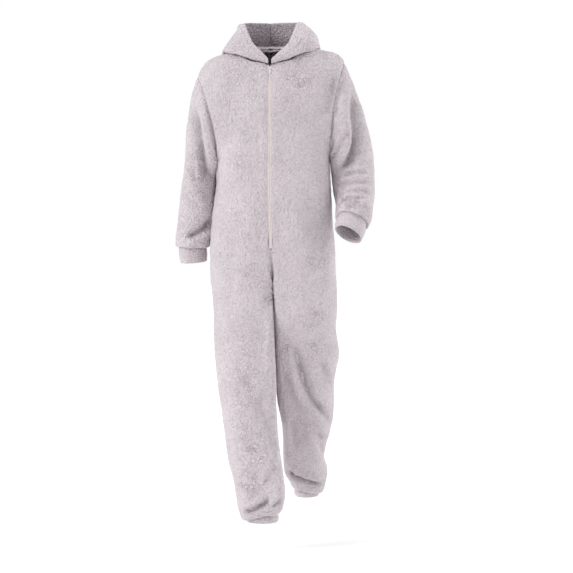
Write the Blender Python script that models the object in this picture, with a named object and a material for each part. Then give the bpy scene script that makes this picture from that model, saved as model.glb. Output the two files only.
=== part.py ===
"""Hooded one-piece pyjama of plush fleece in its worn form: one closed solid for each sewn piece.

+Z is up, -Y is the front, the wearer's right is -X, and the origin lies level with the neck.
"""

import math
from collections import namedtuple

import bmesh
import bpy
import numpy as np
from mathutils import Vector
from mathutils.bvhtree import BVHTree

# ------------------------------------------------------------------ driving sizes, in metres

WALL = 0.004            # plush fleece, backing and pile together
SEAM = 0.0003           # clear space between two sewn pieces
ARMHOLE_GAP = 0.0006    # the same round the armhole, whose edge bends both ways
LEG_CLEARANCE = 0.001   # from each leg to the plane between the legs
COLUMNS = 12            # cells across a body panel, from its centre edge to its side edge
YOKE_ROWS = 6           # cells from the shoulder seam down to the widest part of the armhole
CHEST_ROWS = 5          # cells from there to the underarm
TRUNK_ROWS = 5          # cells from the underarm to the foot of the zip
FORK_ROWS = 6           # cells down the crotch curve
LEG_ROWS = 13           # cells from the crotch to the ankle

SIDES = {"right": -1, "left": 1}
FACES = {"front": -1, "back": 1}

ZIP_HALF = 0.00575      # half of the opening between the two fronts that the zip fills
ZIP_FOOT = 0.600        # drop of the zip's lower end
ZIP_CLOSE = 0.613       # drop where the fronts meet below the zip
CROTCH = 0.745          # drop of the crotch point
CROTCH_SIDE = 0.800     # drop of the side seam on the row that reaches the crotch point
UNDERARM = 0.330        # drop of the centre edges on the underarm's row
FORK_CORNER = 0.040     # rounding of each leg beside the crotch curve

TRUNK_POWER = 2.6       # squareness of the body's sections
LEG_POWER = 2.3
INNER_POWER = 3.0       # squareness of a leg's inner front corner

# Body sections by their drop below the shoulder line: side seams, middle line, front and back.
Trunk = namedtuple("Trunk", "drop right left middle front back")
TRUNK = (
    Trunk(-0.012, -0.165, 0.165, -0.010, -0.085, 0.072),
    Trunk(0.050, -0.185, 0.180, -0.010, -0.100, 0.106),
    Trunk(0.120, -0.192, 0.188, -0.011, -0.121, 0.123),
    Trunk(0.200, -0.186, 0.183, -0.0115, -0.131, 0.131),
    Trunk(0.330, -0.169, 0.171, -0.012, -0.136, 0.125),
    Trunk(0.450, -0.176, 0.1754, -0.0124, -0.137, 0.113),
    Trunk(0.540, -0.185, 0.180, -0.009, -0.138, 0.120),
    Trunk(0.620, -0.188, 0.187, -0.005, -0.139, 0.133),
    Trunk(0.700, -0.187, 0.1925, -0.001, -0.138, 0.139),
)

# Leg sections in mid stride, the right leg forward: side seam, inseam, centre, front and back.
Leg = namedtuple("Leg", "drop outer inner centre front back")
LEGS = {
    "right": (
        Leg(0.780, -0.181, 0.002, -0.018, -0.137, 0.118),
        Leg(0.900, -0.175, 0.0055, -0.042, -0.148, 0.066),
        Leg(0.990, -0.167, 0.0085, -0.060, -0.158, 0.040),
        Leg(1.060, -0.156, 0.008, -0.074, -0.168, 0.022),
        Leg(1.150, -0.142, 0.014, -0.093, -0.181, -0.003),
        Leg(1.220, -0.135, 0.020, -0.109, -0.194, -0.023),
        Leg(1.290, -0.120, 0.032, -0.125, -0.207, -0.043),
        Leg(1.335, -0.112, 0.035, -0.135, -0.213, -0.058),
        Leg(1.367, -0.105, 0.029, -0.142, -0.214, -0.072),
    ),
    "left": (
        Leg(0.780, 0.196, 0.002, 0.018, -0.116, 0.136),
        Leg(0.845, 0.191, 0.004, 0.030, -0.096, 0.144),
        Leg(0.918, 0.203, 0.0055, 0.045, -0.070, 0.152),
        Leg(0.992, 0.192, 0.0095, 0.060, -0.046, 0.161),
        Leg(1.068, 0.187, 0.013, 0.076, -0.022, 0.171),
        Leg(1.118, 0.184, 0.022, 0.086, -0.007, 0.178),
        Leg(1.169, 0.172, 0.029, 0.098, 0.009, 0.186),
        Leg(1.245, 0.154, 0.032, 0.115, 0.031, 0.198),
        Leg(1.290, 0.166, 0.035, 0.126, 0.045, 0.207),
        Leg(1.312, 0.167, 0.041, 0.131, 0.053, 0.209),
        Leg(1.331, 0.160, 0.053, 0.137, 0.064, 0.208),
    ),
}

# Shoulder seam, from the neck to the top of the armhole, and the armhole's lowest point.
Shoulder = namedtuple("Shoulder", "neck_x neck_drop tip_x tip_drop under_x under_drop bow")
SHOULDERS = {
    "right": Shoulder(-0.113, 0.002, -0.227, 0.080, -0.169, 0.336, 0.009),
    "left": Shoulder(0.100, -0.008, 0.213, 0.038, 0.171, 0.320, -0.009),
}
ARMHOLE_DEPTH = 0.088       # half of the armhole from front to back

# Sleeve rings: outermost and innermost points, centre and half depth, and the forward pitch.
Ring = namedtuple("Ring", "out_x out_drop in_x in_drop centre depth pitch")
SLEEVES = {
    "right": (
        Ring(-0.227, 0.080, -0.169, 0.336, 0.000, 0.088, 0),
        Ring(-0.245, 0.132, -0.1705, 0.347, 0.002, 0.086, 0),
        Ring(-0.256, 0.190, -0.1715, 0.357, 0.006, 0.081, 0),
        Ring(-0.264, 0.240, -0.1725, 0.368, 0.011, 0.076, 0),
        Ring(-0.2685, 0.300, -0.1735, 0.388, 0.018, 0.070, -3),
        Ring(-0.274, 0.355, -0.1745, 0.418, 0.025, 0.066, -5),
        Ring(-0.2825, 0.405, -0.176, 0.448, 0.031, 0.063, -6),
        Ring(-0.290, 0.460, -0.1775, 0.485, 0.037, 0.061, -6),
        Ring(-0.297, 0.520, -0.182, 0.528, 0.043, 0.060, -6),
        Ring(-0.303, 0.568, -0.190, 0.566, 0.048, 0.058, -6),
    ),
    "left": (
        Ring(0.213, 0.038, 0.171, 0.320, 0.000, 0.088, 0),
        Ring(0.238, 0.088, 0.1725, 0.335, -0.002, 0.087, 0),
        Ring(0.257, 0.137, 0.1735, 0.348, -0.003, 0.083, 0),
        Ring(0.273, 0.186, 0.1745, 0.358, -0.003, 0.078, 0),
        Ring(0.287, 0.235, 0.176, 0.368, -0.002, 0.074, 2),
        Ring(0.299, 0.285, 0.178, 0.380, -0.001, 0.070, 6),
        Ring(0.305, 0.340, 0.180, 0.398, -0.004, 0.067, 12),
        Ring(0.306, 0.395, 0.1835, 0.425, -0.020, 0.065, 20),
        Ring(0.304, 0.445, 0.188, 0.458, -0.045, 0.062, 27),
        Ring(0.298, 0.485, 0.1885, 0.480, -0.070, 0.059, 31),
        Ring(0.292, 0.511, 0.188, 0.500, -0.090, 0.056, 33),
    ),
}
SLEEVE_ROWS = 15

# Sleeve cuffs: the ring at the seam and the ring at the hem.
CUFFS = {
    "right": (
        Ring(-0.291, 0.592, -0.208, 0.590, 0.052, 0.040, -6),
        Ring(-0.286, 0.642, -0.205, 0.636, 0.056, 0.039, -6),
    ),
    "left": (
        Ring(0.279, 0.531, 0.195, 0.506, -0.102, 0.041, 34),
        Ring(0.264, 0.573, 0.184, 0.539, -0.129, 0.039, 34),
    ),
}
CUFF_RISE = 0.007       # how far a cuff goes on inside the sleeve or leg above its seam

# Ankle cuffs: centre, half width, half depth, and the drops of the seam and the hem.
Ankle = namedtuple("Ankle", "x y half_width half_depth seam hem")
ANKLES = {
    "right": Ankle(-0.031, -0.150, 0.046, 0.044, 1.388, 1.411),
    "left": Ankle(0.1025, 0.142, 0.0365, 0.049, 1.350, 1.373),
}

# How cloth turns in to a narrower cuff: share of the way in, and its place along the limb from the
# seam, as a share of the fullness there and of the fullness beyond what a plain turn needs.
Tuck = namedtuple("Tuck", "share turn hang")
TUCK = (Tuck(0.08, -0.60, 0.10), Tuck(0.32, -0.16, 0.30), Tuck(0.68, 0.0, 0.36), Tuck(1.0, 0.0, 0.0))
TURN_FULLNESS = 0.012
MOST_FULLNESS = 0.030

# Hood profiles by their turn around the neck from the front: out from the seam, and up.
Hood = namedtuple("Hood", "turn over_r over_z inner_r inner_z low_r low_z belly_r belly_z rim_r rim_z")
HOOD = (
    Hood(0, 0.001, 0.003, 0.002, 0.005, 0.002, 0.008, 0.002, 0.011, 0.001, 0.014),
    Hood(25, 0.003, 0.005, 0.008, 0.008, 0.011, 0.015, 0.008, 0.029, -0.004, 0.043),
    Hood(45, 0.006, 0.006, 0.019, 0.003, 0.027, 0.010, 0.019, 0.040, -0.018, 0.070),
    Hood(65, 0.008, 0.006, 0.028, -0.002, 0.037, 0.004, 0.023, 0.048, -0.022, 0.084),
    Hood(90, 0.009, 0.008, 0.030, -0.001, 0.040, 0.004, 0.025, 0.048, -0.013, 0.086),
    Hood(115, 0.012, 0.012, 0.041, -0.006, 0.054, -0.022, 0.050, 0.026, 0.004, 0.088),
    Hood(145, 0.018, 0.016, 0.056, -0.032, 0.085, -0.095, 0.110, -0.040, 0.032, 0.088),
    Hood(165, 0.021, 0.018, 0.061, -0.046, 0.094, -0.160, 0.132, -0.080, 0.052, 0.087),
    Hood(180, 0.022, 0.018, 0.062, -0.050, 0.097, -0.178, 0.138, -0.092, 0.060, 0.086),
)
# Share of the table's belly and rim heights that each half of the hood keeps at its side.
HoodSide = namedtuple("HoodSide", "belly height")
HOOD_SIDES = {"right": HoodSide(0.45, 0.97), "left": HoodSide(1.05, 0.92)}
BELLY_R, BELLY_Z, RIM_Z = (Hood._fields.index(name) - 1 for name in ("belly_r", "belly_z", "rim_z"))
HOOD_ROWS = 12
HOOD_CLEARANCE = 0.0075      # from the middle of the hood's wall to the cloth below it

# Folds on a face seen from the front or back: ends, sideways bow, half width, and height.
Fold = namedtuple("Fold", "piece x0 drop0 x1 drop1 bow width height")
FOLDS = (
    Fold("sleeve_right", -0.236, 0.185, -0.182, 0.400, 0.016, 0.017, -0.010),
    Fold("sleeve_right", -0.185, 0.500, -0.272, 0.560, 0.008, 0.012, -0.007),
    Fold("sleeve_right", -0.270, 0.330, -0.205, 0.450, 0.006, 0.018, 0.005),
    Fold("sleeve_left", 0.246, 0.130, 0.198, 0.370, -0.020, 0.016, -0.009),
    Fold("sleeve_left", 0.236, 0.150, 0.178, 0.320, -0.014, 0.016, 0.005),
    Fold("sleeve_left", 0.292, 0.370, 0.215, 0.392, 0.004, 0.011, -0.006),
    Fold("sleeve_left", 0.296, 0.440, 0.225, 0.455, 0.004, 0.011, -0.006),
    Fold("front_right", -0.050, 1.030, 0.012, 1.220, 0.010, 0.020, -0.009),
    Fold("front_right", -0.085, 1.345, -0.012, 1.300, -0.006, 0.014, -0.009),
    Fold("front_left", 0.062, 0.890, 0.160, 1.120, 0.018, 0.020, -0.009),
    Fold("front_left", 0.110, 1.160, 0.158, 1.235, 0.006, 0.018, 0.008),
    Fold("front_left", 0.052, 1.285, 0.152, 1.325, 0.008, 0.013, -0.011),
    Fold("back_right", -0.135, 0.800, -0.020, 0.860, 0.012, 0.022, -0.008),
    Fold("back_right", -0.110, 1.080, -0.010, 1.140, 0.014, 0.020, -0.008),
    Fold("back_right", -0.100, 1.300, -0.005, 1.330, 0.010, 0.015, -0.009),
    Fold("back_left", 0.150, 0.790, 0.025, 0.850, -0.012, 0.022, -0.008),
    Fold("back_left", 0.165, 1.060, 0.050, 1.130, -0.014, 0.020, -0.008),
    Fold("back_left", 0.150, 1.290, 0.070, 1.320, -0.008, 0.014, -0.009),
)

# Zip, in metres: widths across, and how far each face lies below the fleece's outer face.
TAPE_INNER = 0.00265
TAPE_SINK = 0.0010
TAPE_THICK = 0.0010
CHAIN_HALF = 0.00235
CHAIN_SINK = 0.0004
CHAIN_THICK = 0.0022
ZIP_ROWS = 22
SLIDER_DROP = 0.062         # drop of the slider's middle
SLIDER_WIDTH = 0.0086
SLIDER_LENGTH = 0.0105
SLIDER_PLATE = 0.0014
SLIDER_LIFT = 0.0004        # slider's face plate above the fleece's outer face
BRIDGE_WIDTH = 0.0022
BRIDGE_LENGTH = 0.0070
BRIDGE_HEIGHT = 0.0030
BRIDGE_BAR = 0.0011
PULL_WIDTH = 0.0062
PULL_LENGTH = 0.0165
PULL_THICK = 0.0010
PULL_EYE_WIDTH = 0.0034
PULL_EYE_LENGTH = 0.0058
PULL_BAR = 0.0010

# Name, colour, roughness and metallic value of each material.
FLEECE = ("plush fleece", (0.60, 0.53, 0.58), 0.95, 0.0)
CUFF_FLEECE = ("cuff fleece", (0.57, 0.50, 0.55), 0.95, 0.0)
TAPE = ("zip tape", (0.86, 0.76, 0.76), 0.80, 0.0)
TEETH = ("zip teeth", (0.88, 0.82, 0.80), 0.45, 0.0)
METAL = ("zip metal", (0.78, 0.77, 0.76), 0.30, 1.0)

NECK_CENTRE = Vector((-0.007, 0.0, 0.0))


# ------------------------------------------------------------------ curves and tables

def smooth(knots, values, at):
    """Value at a place on the smooth curve through a table's values."""
    knots = np.asarray(knots, float)
    values = np.asarray(values, float)
    slopes = np.gradient(values, knots, axis=0)
    place = np.clip(np.asarray(at, float), knots[0], knots[-1])
    low = np.clip(np.searchsorted(knots, place, side="right") - 1, 0, len(knots) - 2)
    step = knots[low + 1] - knots[low]
    t = (place - knots[low]) / step
    if values.ndim > 1:
        t = t[..., None]
        step = step[..., None]
    start = values[low] * (2 * t ** 3 - 3 * t ** 2 + 1) + slopes[low] * step * (t ** 3 - 2 * t ** 2 + t)
    end = values[low + 1] * (3 * t ** 2 - 2 * t ** 3) + slopes[low + 1] * step * (t ** 3 - t ** 2)
    return start + end


def ease(t):
    """0 to 1 with level ends."""
    t = np.clip(t, 0.0, 1.0)
    return t * t * (3 - 2 * t)


def resample(points, count):
    """The same path with `count` cells of equal length."""
    lengths = np.linalg.norm(np.diff(points, axis=0), axis=1)
    along = np.concatenate(([0.0], np.cumsum(lengths)))
    wanted = np.linspace(0.0, along[-1], count + 1)
    return np.stack([np.interp(wanted, along, points[:, k]) for k in range(3)], axis=1)


def section_table(side):
    """Drops and the columns outer, inner, centre, front and back of one side, neck to ankle."""
    trunk = [(row.drop, getattr(row, side), row.middle, 0.0, row.front, row.back) for row in TRUNK]
    table = np.array(trunk + [tuple(row) for row in LEGS[side]])
    return table[:, 0], table[:, 1:]


SECTIONS = {side: section_table(side) for side in SIDES}
OUTER, INNER, CENTRE, FRONT, BACK = range(5)


def section(side, column, drop):
    knots, values = SECTIONS[side]
    return smooth(knots, values[:, column], drop)


def middle(drop):
    """X of the surface that parts the two halves and the two legs."""
    return (section("right", INNER, drop) + section("left", INNER, drop)) / 2


def face_depth(side, face, drop):
    return section(side, FRONT if face == "front" else BACK, drop)


# ------------------------------------------------------------------ body panels

def armhole(side, angle):
    """Point of the armhole's edge: 0 at the shoulder tip, -90 degrees at the front, 180 below."""
    s = SHOULDERS[side]
    across = math.cos(math.radians(angle))
    depth = math.sin(math.radians(angle))
    x = (s.tip_x + s.under_x) / 2 + (s.tip_x - s.under_x) / 2 * across + s.bow * depth ** 2
    drop = (s.tip_drop + s.under_drop) / 2 + (s.tip_drop - s.under_drop) / 2 * across
    return np.array((x, ARMHOLE_DEPTH * depth, -drop))


def armhole_angles():
    """Turns from the shoulder tip to the underarm at which the panels' rows meet the armhole."""
    upper = [90 * k / YOKE_ROWS for k in range(YOKE_ROWS + 1)]
    return upper + [90 + 90 * k / CHEST_ROWS for k in range(1, CHEST_ROWS + 1)]


def panel_row(side, face, edge, edge_drop, corner, end, power):
    """One row of a body panel, from its centre edge around the face to its side edge."""
    sign = SIDES[side]
    samples = 240
    end_drop = -end[2]
    face_end = face_depth(side, face, end_drop)
    centre_end = section(side, CENTRE, end_drop)
    reach = np.clip((end[1] - centre_end) / (face_end - centre_end), 0.0, 1.0)
    last = math.acos(reach ** (power / 2))
    start_x = edge[0] + sign * corner
    half = (end[0] - start_x) / math.sin(last) ** (2 / power)
    groove = abs(face_depth(side, face, edge_drop) - edge[1]) + corner
    inner_count = int(samples * groove / (groove + abs(end[0] - start_x))) if corner > 0 else 0
    rows = []
    for k in range(samples + 1):
        drop = edge_drop + (end_drop - edge_drop) * float(ease(k / samples))
        front = face_depth(side, face, drop)
        centre = section(side, CENTRE, drop)
        if k < inner_count:
            turn = math.pi / 2 * k / inner_count
            x = edge[0] + sign * corner * (1 - math.cos(turn) ** (2 / INNER_POWER))
            y = edge[1] + (front - edge[1]) * math.sin(turn) ** (2 / INNER_POWER)
        else:
            turn = last * (k - inner_count) / (samples - inner_count)
            x = start_x + half * math.sin(turn) ** (2 / power)
            y = centre + (front - centre) * max(math.cos(turn), 0.0) ** (2 / power)
        rows.append((x, y, -drop))
    return resample(np.array(rows), COLUMNS)


def centre_edge(side, face, drop, zipped):
    """Point of a panel's centre edge, beside the zip or on the middle line."""
    gap = ZIP_HALF if zipped else 0.0
    return np.array((middle(drop) + SIDES[side] * gap, face_depth(side, face, drop), -drop))


def chest_rows(side, face):
    """Rows from the widest part of the armhole down to the underarm."""
    zipped = face == "front"
    top = 0.049 if zipped else -0.012
    rows = []
    for k, angle in enumerate(armhole_angles()[YOKE_ROWS:]):
        drop = top + (UNDERARM - top) * k / CHEST_ROWS
        edge = centre_edge(side, face, drop, zipped)
        end = armhole(side, angle * FACES[face])
        rows.append(panel_row(side, face, edge, drop, 0.0, end, TRUNK_POWER))
    return rows


def yoke_rows(side, face, chest):
    """Rows from the shoulder seam down to the first chest row, along neckline and armhole."""
    s = SHOULDERS[side]
    share = np.linspace(0.0, 1.0, COLUMNS + 1)
    fall = 0.35 * share + 0.65 * share ** 6
    seam_x = s.neck_x + (s.tip_x - s.neck_x) * share
    seam_z = -(s.neck_drop + (s.tip_drop - s.neck_drop) * fall)
    rows = []
    for k in range(YOKE_ROWS):
        turn = math.radians(90 * k / YOKE_ROWS)
        x = chest[:, 0] + (seam_x - chest[:, 0]) * math.cos(turn) ** (0.5 + 0.5 * share)
        y = chest[:, 1] * math.sin(turn)
        z = chest[:, 2] + (seam_z - chest[:, 2]) * math.cos(turn)
        row = np.stack((x, y, z), axis=1)
        miss = armhole(side, math.degrees(turn) * FACES[face]) - row[-1]
        rows.append(row + miss * share[:, None] ** 4)
    return rows


def side_point(side, drop):
    return np.array((section(side, OUTER, drop), section(side, CENTRE, drop), -drop))


def trunk_rows(side, face):
    """Rows from the underarm to just below the zip."""
    under = SHOULDERS[side].under_drop
    rows = []
    for k in range(1, TRUNK_ROWS + 1):
        drop = UNDERARM + (ZIP_FOOT - UNDERARM) * k / TRUNK_ROWS
        end = side_point(side, under + (ZIP_FOOT - under) * k / TRUNK_ROWS)
        edge = centre_edge(side, face, drop, face == "front")
        rows.append(panel_row(side, face, edge, drop, 0.0, end, TRUNK_POWER))
    edge = centre_edge(side, face, ZIP_CLOSE, False)
    rows.append(panel_row(side, face, edge, ZIP_CLOSE, 0.0, side_point(side, ZIP_CLOSE), TRUNK_POWER))
    return rows


def fork_rows(side, face):
    """Rows whose centre edge runs down and under along the crotch curve."""
    rows = []
    for k in range(1, FORK_ROWS + 1):
        share = k / FORK_ROWS
        turn = math.pi / 2 * share
        drop = ZIP_CLOSE + (CROTCH - ZIP_CLOSE) * math.sin(turn)
        edge = centre_edge(side, face, drop, False)
        edge[1] *= math.cos(turn)
        end = side_point(side, ZIP_CLOSE + (CROTCH_SIDE - ZIP_CLOSE) * share)
        corner = FORK_CORNER * (0.3 + 0.7 * share)
        power = TRUNK_POWER + (LEG_POWER - TRUNK_POWER) * share
        rows.append(panel_row(side, face, edge, drop, corner, end, power))
    return rows


def leg_rows(side, face):
    """Rows from the crotch to the end of the leg, where it starts to turn in."""
    bottom = LEGS[side][-1].drop
    rows = []
    for k in range(1, LEG_ROWS + 1):
        share = k / LEG_ROWS
        drop = CROTCH + (bottom - CROTCH) * share
        end = side_point(side, CROTCH_SIDE + (bottom - CROTCH_SIDE) * share)
        inner = section(side, INNER, drop)
        level = section(side, CENTRE, drop) * float(ease(4 * share))
        half = abs(end[0] - inner) / 2
        corner = FORK_CORNER + (half - FORK_CORNER) * float(ease(1.6 * share))
        edge = np.array((inner, level, -drop))
        rows.append(panel_row(side, face, edge, drop, corner, end, LEG_POWER))
    return rows


def ankle_ring(side, grow, drop, count):
    """Points of one half of an ankle cuff's outline, from the inseam side to the outer side."""
    ankle = ANKLES[side]
    turns = np.linspace(0.0, math.pi, count + 1)
    x = ankle.x - SIDES[side] * (ankle.half_width + grow) * np.cos(turns)
    y = ankle.y + (ankle.half_depth + grow) * np.sin(turns)
    return np.stack((x, y, np.full(count + 1, -drop)), axis=1)


def tuck_past(fullness, tuck):
    """How far a row of a tuck lies past the seam."""
    full = np.clip(fullness, 0.0, MOST_FULLNESS)
    return tuck.turn * full + tuck.hang * np.maximum(full - TURN_FULLNESS, 0.0)


def tuck_rows(side, face, last):
    """Rows in which the leg's cloth hangs over its cuff and turns in to the seam."""
    ankle = ANKLES[side]
    target = ankle_ring(side, SEAM, ankle.seam, COLUMNS)
    target[:, 1] = ankle.y + FACES[face] * (target[:, 1] - ankle.y)
    rows = []
    for tuck in TUCK:
        row = last + (target - last) * tuck.share
        row[:, 2] = -(ankle.seam + tuck_past(np.linalg.norm((target - last)[:, :2], axis=1), tuck))
        rows.append(row)
    return rows


def body_panel(side, face):
    """Outer face of one body panel as a grid of rows from the shoulder seam to the ankle."""
    chest = chest_rows(side, face)
    rows = yoke_rows(side, face, chest[0]) + chest
    rows += trunk_rows(side, face) + fork_rows(side, face) + leg_rows(side, face)
    rows += tuck_rows(side, face, rows[-1])
    grid = np.array(rows)
    fork_start = YOKE_ROWS + CHEST_ROWS + TRUNK_ROWS + 2
    crotch_row = fork_start + FORK_ROWS - 1
    for k in range(fork_start, len(grid)):
        first = 0 if k > crotch_row else 1
        limit = middle(-grid[k, first:, 2]) + SIDES[side] * LEG_CLEARANCE
        keep = np.minimum if side == "right" else np.maximum
        grid[k, first:, 0] = keep(grid[k, first:, 0], limit)
    return grid


# ------------------------------------------------------------------ sleeves and cuffs

def ring_points(ring, turns):
    """Points around a sleeve ring: 0 on its outermost point, the front on negative turns."""
    pitch = math.radians(ring.pitch)
    centre = np.array(((ring.out_x + ring.in_x) / 2, ring.centre, -(ring.out_drop + ring.in_drop) / 2))
    across = np.array(((ring.out_x - ring.in_x) / 2, 0.0, -(ring.out_drop - ring.in_drop) / 2))
    depth = np.array((0.0, math.cos(pitch), -math.sin(pitch))) * ring.depth
    return centre + np.outer(np.cos(turns), across) + np.outer(np.sin(turns), depth)


def sleeve_turns():
    """Turns of a sleeve's columns, which start on the armhole at the body panels' rows."""
    half = [math.radians(angle) for angle in armhole_angles()]
    return np.array(half + [2 * math.pi - turn for turn in half[-2:0:-1]])


def ring_axis(side):
    """Direction down the arm at the cuff."""
    top, hem = (ring_points(ring, np.array((0.0, math.pi))).mean(axis=0) for ring in CUFFS[side])
    return (hem - top) / np.linalg.norm(hem - top)


def sleeve(side):
    """Outer face of a sleeve as a grid of rings from the armhole to the cuff's seam."""
    turns = sleeve_turns()
    table = np.array(SLEEVES[side])
    rings = []
    for place in np.linspace(0.0, len(table) - 1, SLEEVE_ROWS + 1):
        rings.append(ring_points(Ring(*smooth(np.arange(len(table)), table, np.array(place))), turns))
    bow = SHOULDERS[side].bow
    for k, weight in enumerate((1.0, 0.55, 0.2)):
        rings[k][:, 0] += bow * weight * np.sin(turns) ** 2
    seam = CUFFS[side][0]
    wider = seam._replace(out_x=seam.out_x + SIDES[side] * SEAM, in_x=seam.in_x - SIDES[side] * SEAM,
                          depth=seam.depth + SEAM)
    target = ring_points(wider, turns)
    last = rings[-1]
    axis = ring_axis(side)
    middle_point = target.mean(axis=0)
    flat = last - np.outer((last - middle_point) @ axis, axis)
    fullness = np.linalg.norm(target - flat, axis=1)
    for tuck in TUCK:
        rings.append(flat + (target - flat) * tuck.share + np.outer(tuck_past(fullness, tuck), axis))
    return np.array(rings)


def cuff(side):
    """Outer face of a sleeve cuff, from inside the sleeve to its hem."""
    turns = sleeve_turns()
    top, hem = (ring_points(ring, turns) for ring in CUFFS[side])
    rise = ring_axis(side) * CUFF_RISE
    return np.array((top - rise, top, (top + hem) / 2, hem))


def ankle_cuff(side):
    """Outer face of an ankle cuff, from inside the leg to its hem."""
    ankle = ANKLES[side]
    rings = []
    for drop in (ankle.seam - CUFF_RISE, ankle.seam, (ankle.seam + ankle.hem) / 2, ankle.hem):
        back = ankle_ring(side, 0.0, drop, COLUMNS)
        front = back[-2:0:-1] * (1, -1, 1) + (0, 2 * ankle.y, 0)
        rings.append(np.concatenate((back, front)))
    return np.array(rings)


# ------------------------------------------------------------------ walls

def grid_normals(grid, closed, outward):
    """Unit normals of a grid, turned outwards by the sign `outward`."""
    if closed:
        around = np.roll(grid, -1, axis=1) - np.roll(grid, 1, axis=1)
    else:
        around = np.gradient(grid, axis=1)
    down = np.gradient(grid, axis=0)
    normals = np.cross(down, around) * outward
    return normals / np.maximum(np.linalg.norm(normals, axis=2, keepdims=True), 1e-12)


def join_normals(grids):
    """Give points that several pieces share the mean of their normals."""
    sums = {}
    for piece in grids.values():
        keys = np.round(piece["outer"] / 1e-5).astype(int)
        piece["keys"] = [[tuple(key) for key in row] for row in keys]
        for row, normals in zip(piece["keys"], piece["normals"]):
            for key, normal in zip(row, normals):
                sums[key] = sums.get(key, 0) + normal
    for piece in grids.values():
        for i, row in enumerate(piece["keys"]):
            for j, key in enumerate(row):
                total = sums[key]
                piece["normals"][i, j] = total / max(np.linalg.norm(total), 1e-9)


def fold_height(piece, points, normals, face):
    """Height of a piece's folds at its points, on the side that faces the fold's viewer."""
    height = np.zeros(points.shape[:2])
    for fold in FOLDS:
        if fold.piece != piece:
            continue
        start = np.array((fold.x0, -fold.drop0))
        end = np.array((fold.x1, -fold.drop1))
        span = end - start
        length = np.linalg.norm(span)
        aside = np.array((-span[1], span[0])) / length
        flat = points[:, :, (0, 2)] - start
        along = flat @ span / length ** 2
        off = flat @ aside - fold.bow * 4 * np.clip(along, 0, 1) * (1 - np.clip(along, 0, 1))
        past = np.maximum(np.abs(along - 0.5) - 0.5, 0.0) * length
        near = np.exp(-(off ** 2 + (2 * past) ** 2) / fold.width ** 2)
        height += fold.height * near * np.clip((normals[:, :, 1] * face - 0.1) * 2, 0.0, 1.0)
    return height * edge_weight(height.shape, piece.startswith("sleeve"))


def edge_weight(shape, tube):
    """1 inside a piece and 0 on its seams, which folds leave where they are."""
    rows, columns = shape
    down = np.minimum(np.arange(rows), rows - 1 - np.arange(rows))
    weight = np.clip(down / 2, 0.0, 1.0)[:, None] * np.ones(columns)
    if not tube:
        weight = weight * np.clip(np.minimum(np.arange(columns), columns - 1 - np.arange(columns)) / 2, 0, 1)
    return weight


def loft(name, outer, inner, closed, material):
    """Closed solid between two grids of the same shape; `closed` joins the last column to the first."""
    rows, columns = outer.shape[:2]
    mesh = bmesh.new()
    layers = [[[mesh.verts.new(point) for point in row] for row in grid] for grid in (outer, inner)]
    span = columns if closed else columns - 1
    for layer in layers:
        for i in range(rows - 1):
            for j in range(span):
                k = (j + 1) % columns
                mesh.faces.new((layer[i][j], layer[i][k], layer[i + 1][k], layer[i + 1][j]))
    for i in (0, rows - 1):
        for j in range(span):
            k = (j + 1) % columns
            mesh.faces.new((layers[0][i][j], layers[0][i][k], layers[1][i][k], layers[1][i][j]))
    if not closed:
        for j in (0, columns - 1):
            for i in range(rows - 1):
                mesh.faces.new((layers[0][i][j], layers[0][i + 1][j], layers[1][i + 1][j], layers[1][i][j]))
    bmesh.ops.recalc_face_normals(mesh, faces=mesh.faces)
    return add_object(name, mesh, material)


def add_object(name, mesh, material):
    """Turn a bmesh into an object of the garment's collection, shaded smooth."""
    data = bpy.data.meshes.new(name)
    mesh.to_mesh(data)
    mesh.free()
    data.materials.append(make_material(name, *material))
    data.shade_smooth()
    data.set_sharp_from_angle(angle=math.radians(50))
    item = bpy.data.objects.new(name, data)
    garment.objects.link(item)
    return item


def trim_edge(outer, inner, normals, neighbours, tangents, inward=None, amount=SEAM / 2):
    """Move an edge's points back into their own piece by half a seam gap, or by `amount`."""
    across = np.cross(normals, tangents)
    across /= np.maximum(np.linalg.norm(across, axis=1, keepdims=True), 1e-12)
    if inward is None:
        facing = np.sign(np.sum(across * (neighbours - outer), axis=1, keepdims=True))
        across = across * facing
    else:
        across = np.broadcast_to(inward, across.shape)
    outer += across * amount
    inner += across * amount


# ------------------------------------------------------------------ pieces

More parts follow.
